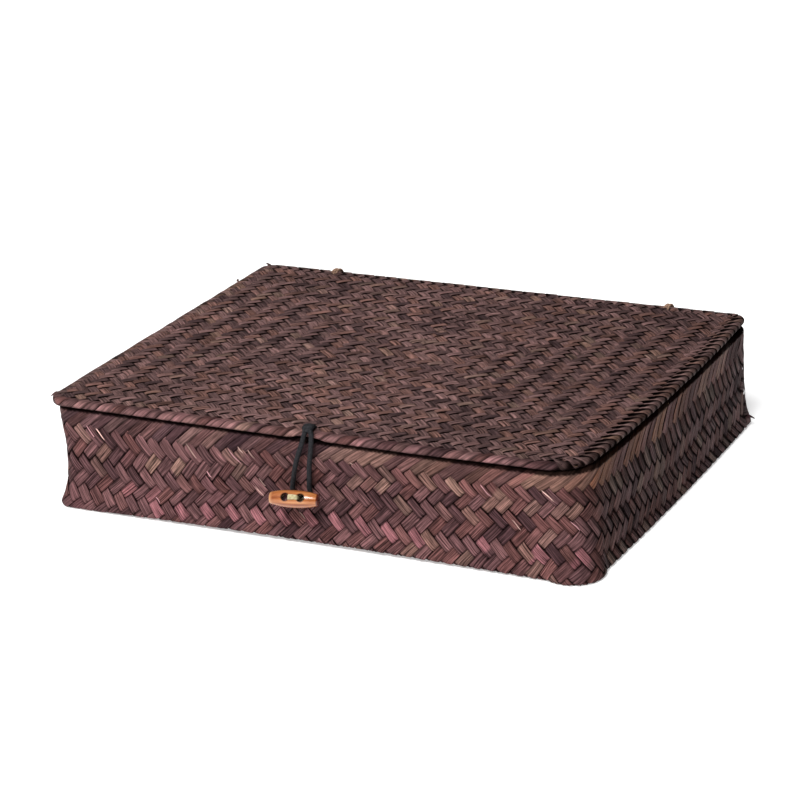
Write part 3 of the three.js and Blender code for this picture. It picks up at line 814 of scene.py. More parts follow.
ms = Mesh()
inner_wall = profile_surface(BODY, [[0, -3.85, 0, -1, 0], [66, -3.85, 66, -1, 0]])
weave(ms, inner_wall, wall_cells,
      lambda i, fam: ((-8.9, 5.0) if fam == 0 else (-8.9, 5.0)),
      range(N_COLS), range(N_COLS),
      lambda q, a: (U0 + (q + 2 * a) * HU, V0 + q * HV),
      lambda q, b: (U0 + (2 * b - q) * HU, V0 + q * HV),
      lambda m_, n_: ((m_ + 1) % 4) < 2,
      lambda q, U, V: np.full(len(q), 2.9), 0.42, "inner", 71, C=4, dense=False)
backing(ms, inner_wall, np.linspace(0, BODY["L"], 301), np.linspace(2.4, 61, 6), -0.62, LINING_BACK)
o = ms.build("inner_wall_weave", MAT_INNER)
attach(o, "box")
print("inner_wall_weave", ms.count())

# ------------------------------------------------------------------ rim band
ms = Mesh()
rb = 2.35
tb = [[38, -1.0, 38, 1, 0], [62.2, -1.0, 62.2, 1, 0]]
tb += arc_rows(62.2, -1.0 - rb, 62.2, rb, 0, math.pi / 2)
v = tb[-1][0]
tb += [[v + 0.6, -1.0 - rb - 0.4, 62.2 + rb, -0.05, 1]]
tb += arc_rows(v + 0.6, -1.0 - rb - 0.4, 62.2, rb, math.pi / 2, math.pi)
v = tb[-1][0]
tb += [[v + 8, -1.0 - 2 * rb - 0.4, 54.2, -1, 0]]
band = profile_surface(BODY, tb)
V_END = v + 5.5
q = np.concatenate([np.array([2.85, 3.1, 3.3, 3.5, 3.7, 3.9, 4.3]), (np.linspace(V0 + 4.3 * HV, 62.2, 10)[1:-1] - V0) / HV, (np.linspace(62.2, v, 12) - V0) / HV, np.array([(v + 2 - V0) / HV, (V_END - V0) / HV])])
# where the band's leaf is paler: along the front by x, along the right by y
PALE_F = [(-84, -72, .7), (-62, -52, .35), (14, 52, .75), (68, 82, .6), (100, 112, .3), (138, 168, .8)]
PALE_R = [(-122, -90, .55), (-76, -54, .45), (-36, -20, .45), (0, 15, .35)]
for a in range(N_COLS):
    V = V0 + q * HV
    U = U0 + (3.0 + 2 * a) * HU + (V - V0 - 3.0 * HV) * (1.55 + 0.12 * (hash01(a, 5, 94) - 0.5))
    U = U + 0.3 * value_noise(q * 0.3 + a * 3.3, 91)
    fx, fy, _, _ = on_outline(BODY, U[:1])
    foot_ = V[0] + float(sag(fx, fy, V[:1])[0])          # the strip's foot follows the row below it
    V = np.where(V < 62.2, 62.2 - (62.2 - V) * (62.2 - foot_) / (62.2 - V[0]), V)
    um = float(np.mod(U[6], BODY["L"]))
    xm = float(signed_x(U[6]))
    ym = -109 + um - 185.4
    side = float(right_side(um))
    h = -1.55 + 2.0 * smooth(q, 2.8, 3.7) + 0.12 * value_noise(q * 0.8 + a * 1.7, 93) + 0.14 * (1 - 0.7 * side) * (hash01(a, 1, 95) - 0.5)
    flat = smooth(V, 59.5, 61.8)
    h = h * (1 - flat) + np.where(q > 5.6, 0.30, 0.42) * flat
    W = (2.85 + 0.3 * (hash01(a, 2, 96) - 0.5)) * (0.90 + 0.10 * smooth(q, 3.0, 4.2)) * np.ones_like(q)
    fid = np.zeros(len(q), int) + a % 7
    pale = max([w_ for lo_, hi_, w_ in PALE_F if lo_ <= xm <= hi_] + [0.0]) if abs(xm) < 178 else max([w_ for lo_, hi_, w_ in PALE_R if lo_ <= ym <= hi_] + [0.0])
    col = strip_colour("fold", a * 3 + 5, fid, V, 0.0, 98, float(wall_warm(U[6], V[6])))
    t_ = pale * (0.55 + 0.45 * hash01(a, 7, 99))
    col = col * (1 - t_) + (lin(138, 105, 92) * (1 - side) + lin(150, 98, 62) * side) * ALB_W * t_
    # wall_shade paints the right side's shade on the band too
    col = col * wall_shade(U, 10 + 0 * V)[:, None] * (1 + (0.60 * hash01(a, 9, 99) - 0.26) * (1 - 0.8 * side)) * (1 + side * np.array([0.30, 0.28, 0.28])) * (1 - (1 - side) * (1 - float(smooth(xm, -10, 80))) * np.array([0.24, 0.20, 0.11]))
    # painted shade on the strip's foot, where it tucks under the plait
    col = col * (0.35 + 0.65 * smooth(q, 2.85, 3.75))[:, None]

    # painted shadow under the lid's border, fading over the rim's top; lower paints a shadow along one edge of each
    # strip
    def painted_shadow_under_lid(v_, side=side):
        return 1 - 0.93 * smooth(v_, 61.6 - 0.7 * side, 62.3 - 0.6 * side) * (1 - 0.8 * smooth(v_, 65.0, 66.6))
    strip(ms, band, U, V, h, W, a * 3 + 5, col, C=7, crown=0.03, edge=0.10, tilt=(0.36 - 0.24 * side) * (1 - flat), lower=(0.94 - 0.70 * side) * (1 - 0.45 * flat), line=0.15 - 0.1 * side, lo_from=0.42, by_v=painted_shadow_under_lid)
# dark backing sheet: painted shade between the band's strips
backing(ms, band, np.linspace(0, BODY["L"], 401), np.concatenate([[51.5, 57, 62.2], np.linspace(63, v, 7), [v + 6]]), -0.62, GAP_SHADE_DARK)
o = ms.build("rim_band_strips", MAT_FOLD)
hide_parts("rim_band"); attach(o, "box")
print("rim_band_strips", ms.count())

# ---------------------------------------------------------------- lid border
ms = Mesh()
rl = 2.0
c0 = 67.75
tl = [[0, -10.5, 69.3, 0, 1], [3.5, -7.0, 69.45, -0.1, 1], [7.0, -3.6, 69.7, -0.1, 1]]
tl += arc_rows(7.9, -2.55, c0, rl, math.pi / 2, -math.pi / 2, 14)
v_edge = 7.9 + rl * math.pi / 2      # outermost line
v_bot = tl[-1][0]
tl += [[v_bot + 5, -7.6, c0 - rl, 0, -1]]
lid_edge = profile_surface(LID, tl)
L1 = 170 - 26                                        # front half to the rounded corner
C_FR = math.pi / 2 * 26
U_R0 = L1 + C_FR                                     # right side starts
U_R1 = U_R0 + (272 - 26 - 10)
U_B0 = U_R1 + math.pi / 2 * 10
U_B1 = U_B0 + (340 - 20)
U_L0 = U_B1 + math.pi / 2 * 10
U_L1 = U_L0 + (272 - 21)
U_F0 = U_L1 + math.pi / 2 * 11 - LID["L"]            # front starts, negative
SIDES = [("front", U_F0 - 18, L1 + 10, 8.3, -1), ("right", L1 + 12, U_R1 + 4, 7.25, 1), ("back", U_R1 + 5, U_B1 + 4, 8.2, 1), ("left", U_B1 + 6, U_L1 + 17, 7.3, 1)]


def front_edge(v_):
    """light along the front border: dim at the top, palest above the fold, dark beneath"""
    top_ = (0.45 + 0.55 * smooth(v_, 4.7, 7.1)) * (0.42 + 0.34 * smooth(v_, 9.2, 10.8))
    return top_ * (1 - 0.92 * smooth(v_, v_edge + 1.0, v_edge + 1.7) * (1 - 0.8 * smooth(v_, v_bot - 0.6, v_bot + 0.8)))


for si, (nm, u0, u1, pitch, sg) in enumerate(SIDES):
    n = max(int(round((u1 - u0) / pitch)), 1)
    for k in range(n):
        uc = u0 + (k + 0.5) * (u1 - u0) / n + (2.2 * (hash01(k, si, 141) - 0.5) if nm == "front" else 0.0)
        claw = nm in ("right", "back")
        start = {"front": 4.7, "right": 0.0, "back": 0.6, "left": 1.6}[nm]
        vv = np.concatenate([np.linspace(start, 7.0, 8), np.linspace(7.9, v_bot, 12), [v_bot + 2.5, v_bot + 4.5]])
        slope = 1.8 if nm == "front" else 1.0
        bend = 0.10 * np.clip(6.5 - vv, 0, 9) ** 2 if claw else 0.0
        U = uc + sg * ((vv - v_edge) * slope + bend) + 0.4 * value_noise(vv * 0.2 + k * 3.7, 111 + si)
        h = 0.06 + 0.20 * smooth(vv, 5.0, 8.5) - 0.9 * smooth(-vv, -start - 2.2, -start) + (0.05 if nm == "front" else 0.26) * (hash01(k, si, 113) - 0.5)
        h = h + (0.50 * np.exp(-((vv - 4.2) / 2.2) ** 2) if claw else 0)
        neck = np.exp(-((vv - (4.3 if claw else 3.2)) / (3.2 if claw else 2.0)) ** 2)
        W = (pitch * 0.285 if nm == "front" else pitch * 0.368) * (1 - {"right": 0.74, "left": 0.30, "front": 0.05, "back": 0.56}[nm] * neck)
        fid = np.full(len(vv), k)
        ex = 0.35 * (hash01(k, si, 117) > 0.45) if nm == "front" else 0.0
        col = strip_colour("border" if nm == "front" else "claw", k * 5 + si * 1000, fid, vv, ex * np.ones(len(vv)), 115 + si)
        # painted light and shade along each border strip, with a painted shadow on the underside, times a random tone
        # for each strip; lower paints a shadow along one edge
        if nm == "front":
            lit_and_tone = 1 + 0.10 * np.sin(vv * 1.7 + k * 2.3)
            col = col * np.array([0.94, 0.98, 1.04])
        elif nm == "right":
            lit_and_tone = 0.90 - 0.50 * smooth(vv, 6.6, 8.8)
        else:
            lit_and_tone = 0.78 - 0.22 * smooth(vv, 6.4, 8.8)
        lit_and_tone = lit_and_tone * (1 + (0.62 * hash01(k, si, 131) - 0.28) * (0.35 if claw else 1.0)) * (1.0 if nm == "front" else (0.45 + 0.55 * smooth(vv, start, start + 2.4)) * (1 - 0.9 * smooth(vv, v_edge + (-1.2 if nm == "right" else 1.2), v_bot - (2.0 if nm == "right" else 0.7)) * (1 - 0.8 * smooth(vv, v_bot - 0.6, v_bot + 0.8))))
        strip(ms, lid_edge, U, vv, h, W, (k * 5 + si * 211) % 997, col * lit_and_tone[:, None], C=7, crown=0.0, edge=0.06, tilt=0.05 * sg, line=0.10 if nm == "front" else 0.1,
              lower=0.55 if claw else 0.85 if nm == "front" else 0.75, lo_from=0.5 if claw or nm == "front" else 0.80, by_v=front_edge if nm == "front" else None)
# leaf ends that stand out at the lid's left corners
for k, (p0, p1, w_, c_) in enumerate([
                                      ((-171.0, -124, 68.4), (-172.8, -129.5, 67.4), 1.2, (92, 64, 62)), ((-166, 132.0, 69.4), (-170.6, 134.4, 70.2), 1.2, (70, 54, 52)),
                                      ((-171.0, 96, 68.8), (-172.5, 99.5, 69.7), 0.9, (86, 66, 62))]):
    t_ = np.linspace(0, 1, 8)[:, None]
    mid = np.array(p0) + (np.array(p1) - np.array(p0)) * t_ + np.sin(t_ * 3.1) * np.array([0, 0, 0.35])
    side_ = np.cross(np.array(p1) - np.array(p0), [0.3, -0.4, 1.0])
    side_ = side_ / np.linalg.norm(side_) * w_ * (1 - 0.85 * t_ ** 1.5)
    G = np.stack([mid - side_, mid - 0.3 * side_, mid + 0.3 * side_, mid + side_], 1)
    ms.grid(G, np.stack([np.broadcast_to(t_ * 8 + k * 31, (8, 4)), np.broadcast_to(np.array([-1, -.3, .3, 1.0]) * w_, (8, 4)), np.zeros((8, 4))], -1), lin(*c_))
bv = np.concatenate([[0.0, 3.0, 6.0, 6.8, 7.9], np.linspace(8.2, v_bot, 9), [v_bot + 4.6]])
# dark backing sheet: painted shade between the border's strips
backing(ms, lid_edge, np.linspace(0, LID["L"], 401), bv, np.where(bv < 6.4, -1.0, -0.12), GAP_SHADE_DARK * 0.5)
o = ms.build("lid_border_strips", MAT_BORDER)
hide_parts("lid_border"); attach(o, "lid")
print("lid_border_strips", ms.count())


# ------------------------------------------------------------- simple shaders
def basic_material(name, rough, spec=0.4):
    mat = bpy.data.materials.new(name)
    mat.use_nodes = True
    nt = mat.node_tree
    bs = nt.nodes["Principled BSDF"]
    bs.inputs["Roughness"].default_value = rough
    bs.inputs["Specular IOR Level"].default_value = spec
    return mat, nt, bs


def ramp(nt, stops):
    r_ = nt.nodes.new("ShaderNodeValToRGB")
    e = r_.color_ramp.elements
    while len(e) > 1:
        e.remove(e[-1])
    e[0].position = stops[0][0]; e[0].color = (*stops[0][1], 1)
    for p, c in stops[1:]:
        x = e.new(p); x.color = (*c, 1)
    return r_


def noise_colour(nt, bs, scale, stops, stretch=(1, 1, 1), detail=4, bump=0.0, dist=0.0002):
    tc = nt.nodes.new("ShaderNodeTexCoord")
    mp = nt.nodes.new("ShaderNodeMapping")
    mp.inputs["Scale"].default_value = stretch
    nt.links.new(tc.outputs["Object"], mp.inputs["Vector"])
    nz = nt.nodes.new("ShaderNodeTexNoise")
    nz.inputs["Scale"].default_value = scale
    nz.inputs["Detail"].default_value = detail
    nt.links.new(mp.outputs[0], nz.inputs["Vector"])
    rp = ramp(nt, stops)
    nt.links.new(nz.outputs["Fac"], rp.inputs[0])
    nt.links.new(rp.outputs[0], bs.inputs["Base Color"])
    if bump:
        bp = nt.nodes.new("ShaderNodeBump")
        bp.inputs["Strength"].default_value = bump
        bp.inputs["Distance"].default_value = dist
        nt.links.new(nz.outputs["Fac"], bp.inputs["Height"])
        nt.links.new(bp.outputs[0], bs.inputs["Normal"])
    return nz


# cane hoops sealed in the rim and the border
MAT_CANE, nt, bs = basic_material("cane", 0.45)
noise_colour(nt, bs, 40, [(0.3, lin(150, 112, 66)), (0.7, lin(192, 156, 104))], (1, 1, 1), bump=0.2)
for nm in ("rim_hoop", "lid_hoop"):
    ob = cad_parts[nm]
    ob.data.materials.clear()
    ob.data.materials.append(MAT_CANE)

# cord black
MAT_CORD, nt, bs = basic_material("black_elastic", 0.78, 0.25)
noise_colour(nt, bs, 900, [(0.3, lin(12, 12, 14)), (0.7, lin(40, 40, 44))], bump=0.3)

# twine
MAT_TWINE, nt, bs = basic_material("twine", 0.8, 0.2)
noise_colour(nt, bs, 420, [(0.3, lin(116, 88, 74)), (0.7, lin(170, 140, 118))], bump=0.4)

# thread
MAT_THREAD, nt, bs = basic_material("sewing_thread", 0.7, 0.3)
noise_colour(nt, bs, 900, [(0.3, lin(160, 148, 112)), (0.7, lin(206, 196, 156))], bump=0.3)


# ------------------------------------------------------------------- tubes
def frames_along(P):
    P = np.asarray(P, float)
    T = np.gradient(P, axis=0)
    T /= np.linalg.norm(T, axis=1)[:, None]
    a = np.array([0, 0, 1.0]) if abs(T[0][2]) < 0.9 else np.array([1.0, 0, 0])
    n = a - T[0] * a.dot(T[0]); n /= np.linalg.norm(n)
    Ns = [n]
    for i in range(1, len(P)):
        n = Ns[-1] - T[i] * Ns[-1].dot(T[i])
        n /= np.linalg.norm(n)
        Ns.append(n)
    Ns = np.array(Ns)
    return T, Ns, np.cross(T, Ns)


def catmull(points, step):
    """centripetal curve through points, sampled about every step"""
    P = np.array(points, float)
    P = np.concatenate([[2 * P[0] - P[1]], P, [2 * P[-1] - P[-2]]])
    out = []
    for i in range(1, len(P) - 2):
        p0, p1, p2, p3 = P[i - 1:i + 3]
        t0 = 0
        t1 = t0 + np.linalg.norm(p1 - p0) ** 0.5
        t2 = t1 + np.linalg.norm(p2 - p1) ** 0.5
        t3 = t2 + np.linalg.norm(p3 - p2) ** 0.5
        n_ = max(int(np.linalg.norm(p2 - p1) / step), 1)
        for t in np.linspace(t1, t2, n_, endpoint=False):
            A1 = (t1 - t) / (t1 - t0) * p0 + (t - t0) / (t1 - t0) * p1
            A2 = (t2 - t) / (t2 - t1) * p1 + (t - t1) / (t2 - t1) * p2
            A3 = (t3 - t) / (t3 - t2) * p2 + (t - t2) / (t3 - t2) * p3
            B1 = (t2 - t) / (t2 - t0) * A1 + (t - t0) / (t2 - t0) * A2
            B2 = (t3 - t) / (t3 - t1) * A2 + (t - t1) / (t3 - t1) * A3
            out.append((t2 - t) / (t2 - t1) * B1 + (t - t1) / (t2 - t1) * B2)
    out.append(P[-2])
    return np.array(out)


def braid_tube(mesh, P, radius, sides=20, strands=8, relief=0.11, pitch=5.0, caps=True, squash=None):
    """round braided cord: crossing helices pressed into the surface"""
    P = np.asarray(P, float)
    T, N_, B_ = frames_along(P)
    s = np.concatenate([[0], np.cumsum(np.linalg.norm(np.diff(P, axis=0), axis=1))])
    th = np.linspace(0, 2 * np.pi, sides, endpoint=False)
    ph = strands / 2 * th[None, :] + 0 * s[:, None]
    a = np.cos(ph + 2 * np.pi * s[:, None] / pitch * strands / 4)
    b = np.cos(ph - 2 * np.pi * s[:, None] / pitch * strands / 4)
    rr_ = radius * np.ones_like(a) + relief * (np.maximum(a, b) - 0.6)
    if caps:
        e = np.clip(np.minimum(s, s[-1] - s) / (radius * 0.6), 0, 1)
        rr_ = rr_ * (0.35 + 0.65 * np.sqrt(e))[:, None]
    off = N_[:, None, :] * (np.cos(th)[None, :] * rr_)[..., None] + B_[:, None, :] * (np.sin(th)[None, :] * rr_)[..., None]
    G = P[:, None, :] + off
    st = np.stack([np.broadcast_to(s[:, None], a.shape), np.broadcast_to(th[None, :], a.shape), 0 * a], -1)
    col = np.ones(G.shape) * 0.02
    mesh.grid(G, st, col, off, close=True)
    for row_, c in ((0, P[0]), (-1, P[-1])):
        k = mesh.n
        mesh.v.append(c[None, :]); mesh.st.append(np.zeros((1, 3))); mesh.col.append(np.full((1, 3), 0.02)); mesh.n += 1
        base_i = k - G.shape[0] * G.shape[1] if row_ == 0 else k - 1 - G.shape[1]
        ring = base_i + np.arange(sides)
        nx_ = np.roll(ring, -1)
        tri = np.stack([ring, nx_, np.full(sides, k), np.full(sides, k)], 1)
        mesh.fans = getattr(mesh, "fans", []) + [tri[:, :3] if row_ != 0 else tri[:, [1, 0, 2]]]


def build_tube(mesh, name, mat):
    V = row(np.concatenate(mesh.v))
    F = [f.tolist() for q_ in mesh.q for f in q_]
    for t_ in getattr(mesh, "fans", []):
        F += [f.tolist() for f in t_]
    me = bpy.data.meshes.new(name)
    me.from_pydata(V.tolist(), [], F)
    me.shade_smooth()
    me.materials.append(mat)
    o_ = bpy.data.objects.new(name, me)
    scene.collection.objects.link(o_)
    return o_


# ------------------------------------------------------------- elastic cord
LOOP = [[2.35, -138.0, 70.6], [1.9, -138.2, 69.2], [0.5, -138.1, 65.0], [-2.6, -137.8, 57.0], [-5.6, -137.1, 49.0], [-8.0, -135.7, 41.0], [-9.3, -135.1, 36.0],
        [-9.9, -134.8, 31.5], [-9.4, -134.8, 27.9], [-7.5, -134.8, 25.4], [-4.2, -134.8, 24.4], [-0.9, -134.8, 25.4], [1.1, -134.8, 27.9],
        [1.5, -134.8, 31.5], [1.3, -135.1, 36.0], [1.9, -135.6, 41.2], [3.2, -137.0, 50.0], [4.8, -137.7, 58.0], [5.9, -138.0, 65.0], [6.2, -138.2, 69.2], [5.9, -138.0, 70.5]]
path = catmull(LOOP, 0.45)
ms = Mesh()
braid_tube(ms, path, 1.42, caps=False)
loop = build_tube(ms, "elastic_loop_cord", MAT_CORD)
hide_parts("elastic_loop"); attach(loop, "loop")

# knot: two turns pulled tight over the border, one strand crossing the other
KA = math.radians(60)
BC = np.array([0, -133.55, 67.85])
KR = 4.5
KC = np.array([3.1, BC[1] - KR * math.cos(KA), BC[2] + KR * math.sin(KA)])
rad_dir = np.array([0, -math.cos(KA), math.sin(KA)])
tan_dir = np.array([0, math.sin(KA), math.cos(KA)])     # towards the back, over the top
xd = np.array([1.0, 0, 0])


def kpt(x, t, r_):
    return KC + xd * x + tan_dir * t + rad_dir * r_


ms = Mesh()
kp = catmull([kpt(-1.4, 3.0, -0.9), kpt(-2.3, 1.6, -0.4), kpt(-2.2, -0.3, 0.2), kpt(-1.0, -1.7, 0.6), kpt(0.9, -1.8, 0.6), kpt(1.8, -0.6, 0.3),
              kpt(1.8, 1.2, 0.0), kpt(0.6, 2.1, 0.1), kpt(-0.9, 1.2, 0.5), kpt(-0.5, -0.5, 0.7), kpt(1.2, -1.4, 0.0), kpt(2.6, -2.3, -0.4), kpt(3.0, -3.3, -1.0)], 0.35)
braid_tube(ms, kp, 1.3, sides=14, relief=0.08)
kp = catmull([kpt(1.4, 3.0, -0.9), kpt(2.2, 1.4, 0.3), kpt(1.7, 0.2, 1.2), kpt(0.4, -0.6, 1.6), kpt(-0.7, -1.6, 1.1), kpt(-1.1, -2.6, 0.1), kpt(-1.2, -3.6, -0.9)], 0.35)
braid_tube(ms, kp, 1.3, sides=14, relief=0.08)
knot = build_tube(ms, "cord_knot_turns", MAT_CORD)
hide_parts("cord_knot"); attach(knot, "knot")

# stop knot inside
ms = Mesh()
sc_ = np.array([3.1, -124.9, 60.0])
kp = catmull([sc_ + d for d in np.array([[0, -0.6, 3.2], [1.2, -1.2, 1.6], [2.2, 0, 0.2], [1.0, 1.6, -1.0], [-1.2, 1.5, -0.8], [-2.2, 0, 0.4], [-0.9, -1.7, 0.9],
                                         [1.1, -1.4, -0.4], [1.6, 0.4, -1.4], [0.0, 0.9, -0.2], [-1.2, -0.3, -1.2], [-0.8, -0.4, -2.6]])], 0.35)
braid_tube(ms, kp, 1.25, sides=14, relief=0.08)
stopk = build_tube(ms, "cord_stop_knot_turns", MAT_CORD)
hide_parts("cord_stop_knot"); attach(stopk, "lid")

# root: both strands up through the lid, over the border, into the knot
ms = Mesh()
ROOT = [[3.1, -125.4, 62.4], [3.1, -126.4, 64.6], [3.1, -127.9, 67.2], [3.1, -129.6, 69.7], [3.1, -131.2, 71.2], [3.1, -133.0, 71.7], [3.1, -134.6, 71.7]]
rp = catmull(ROOT, 0.4)
for dx in (-1.35, 1.35):
    braid_tube(ms, rp + np.array([dx, 0, 0]), 1.35, sides=14, relief=0.08, caps=False)
root = build_tube(ms, "cord_root_strands", MAT_CORD)
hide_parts("cord_root")
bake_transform(root)

[list(p) for p in row(path)]

# -------------------------------------------------------------------- ties
for side, xc in (("left", -117.0), ("right", 117.0)):
    ms = Mesh()
    HY, HZ = 134.5, 65.25
    for k in range(3):
        th = np.linspace(0, 2 * np.pi, 97)
        x = xc + (k - 1) * (1.5 if side == "left" else 1.25) + 0.12 * np.sin(th * 2 + k)
        rad_ = 6.2 - 0.80 * np.clip(np.sin(th), 0, 1) ** 2 + 0.10 * np.sin(3 * th + k * 2.1)
        P = np.stack([x, HY + rad_ * np.cos(th), HZ + rad_ * np.sin(th)], -1)
        # twisted two-ply
        T, N_, B_ = frames_along(P)
        for ply in (0, np.pi):
            w = 2 * np.pi * np.linspace(0, 1, len(th)) * 14 + ply
            Q = P + (N_ * np.cos(w)[:, None] + B_ * np.sin(w)[:, None]) * 0.35
            ang = np.linspace(0, 2 * np.pi, 10, endpoint=False)
            T2, N2, B2 = frames_along(Q)
            G = Q[:, None, :] + (N2[:, None, :] * np.cos(ang)[None, :, None] + B2[:, None, :] * np.sin(ang)[None, :, None]) * 0.41
            ms.grid(G, np.zeros(3), np.ones(3) * 0.4, G - Q[:, None, :], close=True)
    o = build_tube(ms, "hinge_twine_" + side, MAT_TWINE)
    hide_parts("hinge_tie_" + side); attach(o, "box")

# ------------------------------------------------------------------ toggle
TOG_C = np.array([-4.2, -143.4, 30.6])
TL, TR, TE = 28.8, 5.1, 3.4
HX = 4.5
tilt_, yaw_, roll_ = math.radians(-0.3), math.radians(12), math.radians(35)
pts = [(0.0, -TL / 2)]
n_ = 44
prof = []
for i in range(n_ + 1):
    t = -1 + 2 * i / n_
    prof.append((TE + (TR - TE) * (1 - abs(t) ** 2.2), t * (TL / 2 - 0.55)))
left_cap = [(0.0, -TL / 2 + 0.06), (1.4, -TL / 2), (TE - 0.85, -TL / 2), (TE - 0.45, -TL / 2 + 0.08), (TE - 0.14, -TL / 2 + 0.28)]
ring_pts = left_cap + prof + [(a_, -b_) for a_, b_ in left_cap[::-1]]
bm = bmesh.new()
SEG = 96
rings = []
for rad_, x in ring_pts:
    if rad_ == 0.0:
        rings.append([bm.verts.new((x, 0, 0))])
    else:
        rings.append([bm.verts.new((x, rad_ * math.cos(2 * math.pi * j / SEG), rad_ * math.sin(2 * math.pi * j / SEG))) for j in range(SEG)])
for a_, b_ in zip(rings[:-1], rings[1:]):
    for j in range(SEG):
        k = (j + 1) % SEG
        if len(a_) == 1:
            bm.faces.new((a_[0], b_[j], b_[k]))
        elif len(b_) == 1:
            bm.faces.new((a_[j], b_[0], a_[k]))
        else:
            bm.faces.new((a_[j], b_[j], b_[k], a_[k]))
bmesh.ops.recalc_face_normals(bm, faces=bm.faces)
me = bpy.data.meshes.new("toggle_barrel")
bm.to_mesh(me); bm.free()
toggle = bpy.data.objects.new("toggle_barrel", me)
scene.collection.objects.link(toggle)
for s_ in (-1, 1):
    bm = bmesh.new()
    rr_ = [(0, -9), (3.1, -9), (2.75, -TR + 0.05), (2.35, -TR + 0.55), (2.2, -TR + 1.2), (2.2, TR - 1.2), (2.35, TR - 0.55), (2.75, TR - 0.05), (3.1, 9), (0, 9)]
    rings = []
    for rad_, y in rr_:
        if rad_ == 0:
            rings.append([bm.verts.new((s_ * HX, y, 0))])
        else:
            rings.append([bm.verts.new((s_ * HX + rad_ * math.cos(2 * math.pi * j / 40), y, rad_ * math.sin(2 * math.pi * j / 40))) for j in range(40)])
    for a_, b_ in zip(rings[:-1], rings[1:]):
        for j in range(40):
            k = (j + 1) % 40
            if len(a_) == 1:
                bm.faces.new((a_[0], b_[j], b_[k]))
            elif len(b_) == 1:
                bm.faces.new((a_[j], b_[0], a_[k]))
            else:
                bm.faces.new((a_[j], b_[j], b_[k], a_[k]))
    bmesh.ops.recalc_face_normals(bm, faces=bm.faces)
    cm = bpy.data.meshes.new("hole"); bm.to_mesh(cm); bm.free()
    cutter = bpy.data.objects.new("hole", cm)
    scene.collection.objects.link(cutter)
    md = toggle.modifiers.new("hole", "BOOLEAN")
    md.operation = "DIFFERENCE"; md.object = cutter; md.solver = "EXACT"
    dg = bpy.context.evaluated_depsgraph_get()
    new = bpy.data.meshes.new_from_object(toggle.evaluated_get(dg))
    toggle.modifiers.clear()
    toggle.data = new
    bpy.data.objects.remove(cutter)
toggle.data.name = "toggle_barrel"
for p_ in toggle.data.polygons:
    p_.use_smooth = True
toggle.data.set_sharp_from_angle(angle=math.radians(38))
Rt = Matrix.Rotation(yaw_, 4, "Z") @ Matrix.Rotation(-tilt_, 4, "Y") @ Matrix.Rotation(-roll_, 4, "X")
toggle.matrix_world = Matrix.Translation(Vector(row(TOG_C))) @ Rt @ Matrix.Scale(0.001, 4)

MAT_TOG, nt, bs = basic_material("turned_wood", 0.24, 0.5)
bs.inputs["Coat Weight"].default_value = 0.5
bs.inputs["Coat Roughness"].default_value = 0.12
tc = nt.nodes.new("ShaderNodeTexCoord")
mp = nt.nodes.new("ShaderNodeMapping"); mp.inputs["Scale"].default_value = (0.035, 0.55, 0.55)
nt.links.new(tc.outputs["Object"], mp.inputs["Vector"])
nz = nt.nodes.new("ShaderNodeTexNoise"); nz.inputs["Scale"].default_value = 1.0; nz.inputs["Detail"].default_value = 5.0
nt.links.new(mp.outputs[0], nz.inputs["Vector"])
rp_ = ramp(nt, [(0.30, lin(128, 64, 30)), (0.48, lin(164, 96, 50)), (0.62, lin(184, 118, 68)), (0.78, lin(204, 148, 98))])
nt.links.new(nz.outputs["Fac"], rp_.inputs[0])
sep = nt.nodes.new("ShaderNodeSeparateXYZ")
nt.links.new(tc.outputs["Object"], sep.inputs[0])
# end grain, with painted light making the left end paler and painted shade making the right end dark red-brown; painted
# shade on the hole walls
rng = nt.nodes.new("ShaderNodeMapRange"); rng.inputs["From Min"].default_value = 13.1; rng.inputs["From Max"].default_value = 13.7
nt.links.new(sep.outputs["X"], rng.inputs["Value"])
mx = nt.nodes.new("ShaderNodeMix"); mx.data_type = "RGBA"
mx.inputs["B"].default_value = (*lin(84, 34, 20), 1)
nt.links.new(rng.outputs[0], mx.inputs["Factor"]); nt.links.new(rp_.outputs[0], mx.inputs["A"])
rng2 = nt.nodes.new("ShaderNodeMapRange"); rng2.inputs["From Min"].default_value = -12.2; rng2.inputs["From Max"].default_value = -14.4
nt.links.new(sep.outputs["X"], rng2.inputs["Value"])
mx2 = nt.nodes.new("ShaderNodeMix"); mx2.data_type = "RGBA"
mx2.inputs["B"].default_value = (*lin(196, 142, 96), 1)
nt.links.new(rng2.outputs[0], mx2.inputs["Factor"]); nt.links.new(mx.outputs["Result"], mx2.inputs["A"])
# distance from the holes' axes, for the painted shade on their walls
ax = nt.nodes.new("ShaderNodeMath"); ax.operation = "ABSOLUTE"; nt.links.new(sep.outputs["X"], ax.inputs[0])
sb = nt.nodes.new("ShaderNodeMath"); sb.operation = "SUBTRACT"; sb.inputs[1].default_value = 4.5; nt.links.new(ax.outputs[0], sb.inputs[0])
sq = nt.nodes.new("ShaderNodeMath"); sq.operation = "MULTIPLY"; nt.links.new(sb.outputs[0], sq.inputs[0]); nt.links.new(sb.outputs[0], sq.inputs[1])
zz = nt.nodes.new("ShaderNodeMath"); zz.operation = "MULTIPLY"; nt.links.new(sep.outputs["Z"], zz.inputs[0]); nt.links.new(sep.outputs["Z"], zz.inputs[1])
sm = nt.nodes.new("ShaderNodeMath"); sm.operation = "ADD"; nt.links.new(sq.outputs[0], sm.inputs[0]); nt.links.new(zz.outputs[0], sm.inputs[1])
rng3 = nt.nodes.new("ShaderNodeMapRange"); rng3.inputs["From Min"].default_value = 5.0; rng3.inputs["From Max"].default_value = 8.5
rng3.inputs["To Min"].default_value = 1.0; rng3.inputs["To Max"].default_value = 0.0
nt.links.new(sm.outputs[0], rng3.inputs["Value"])
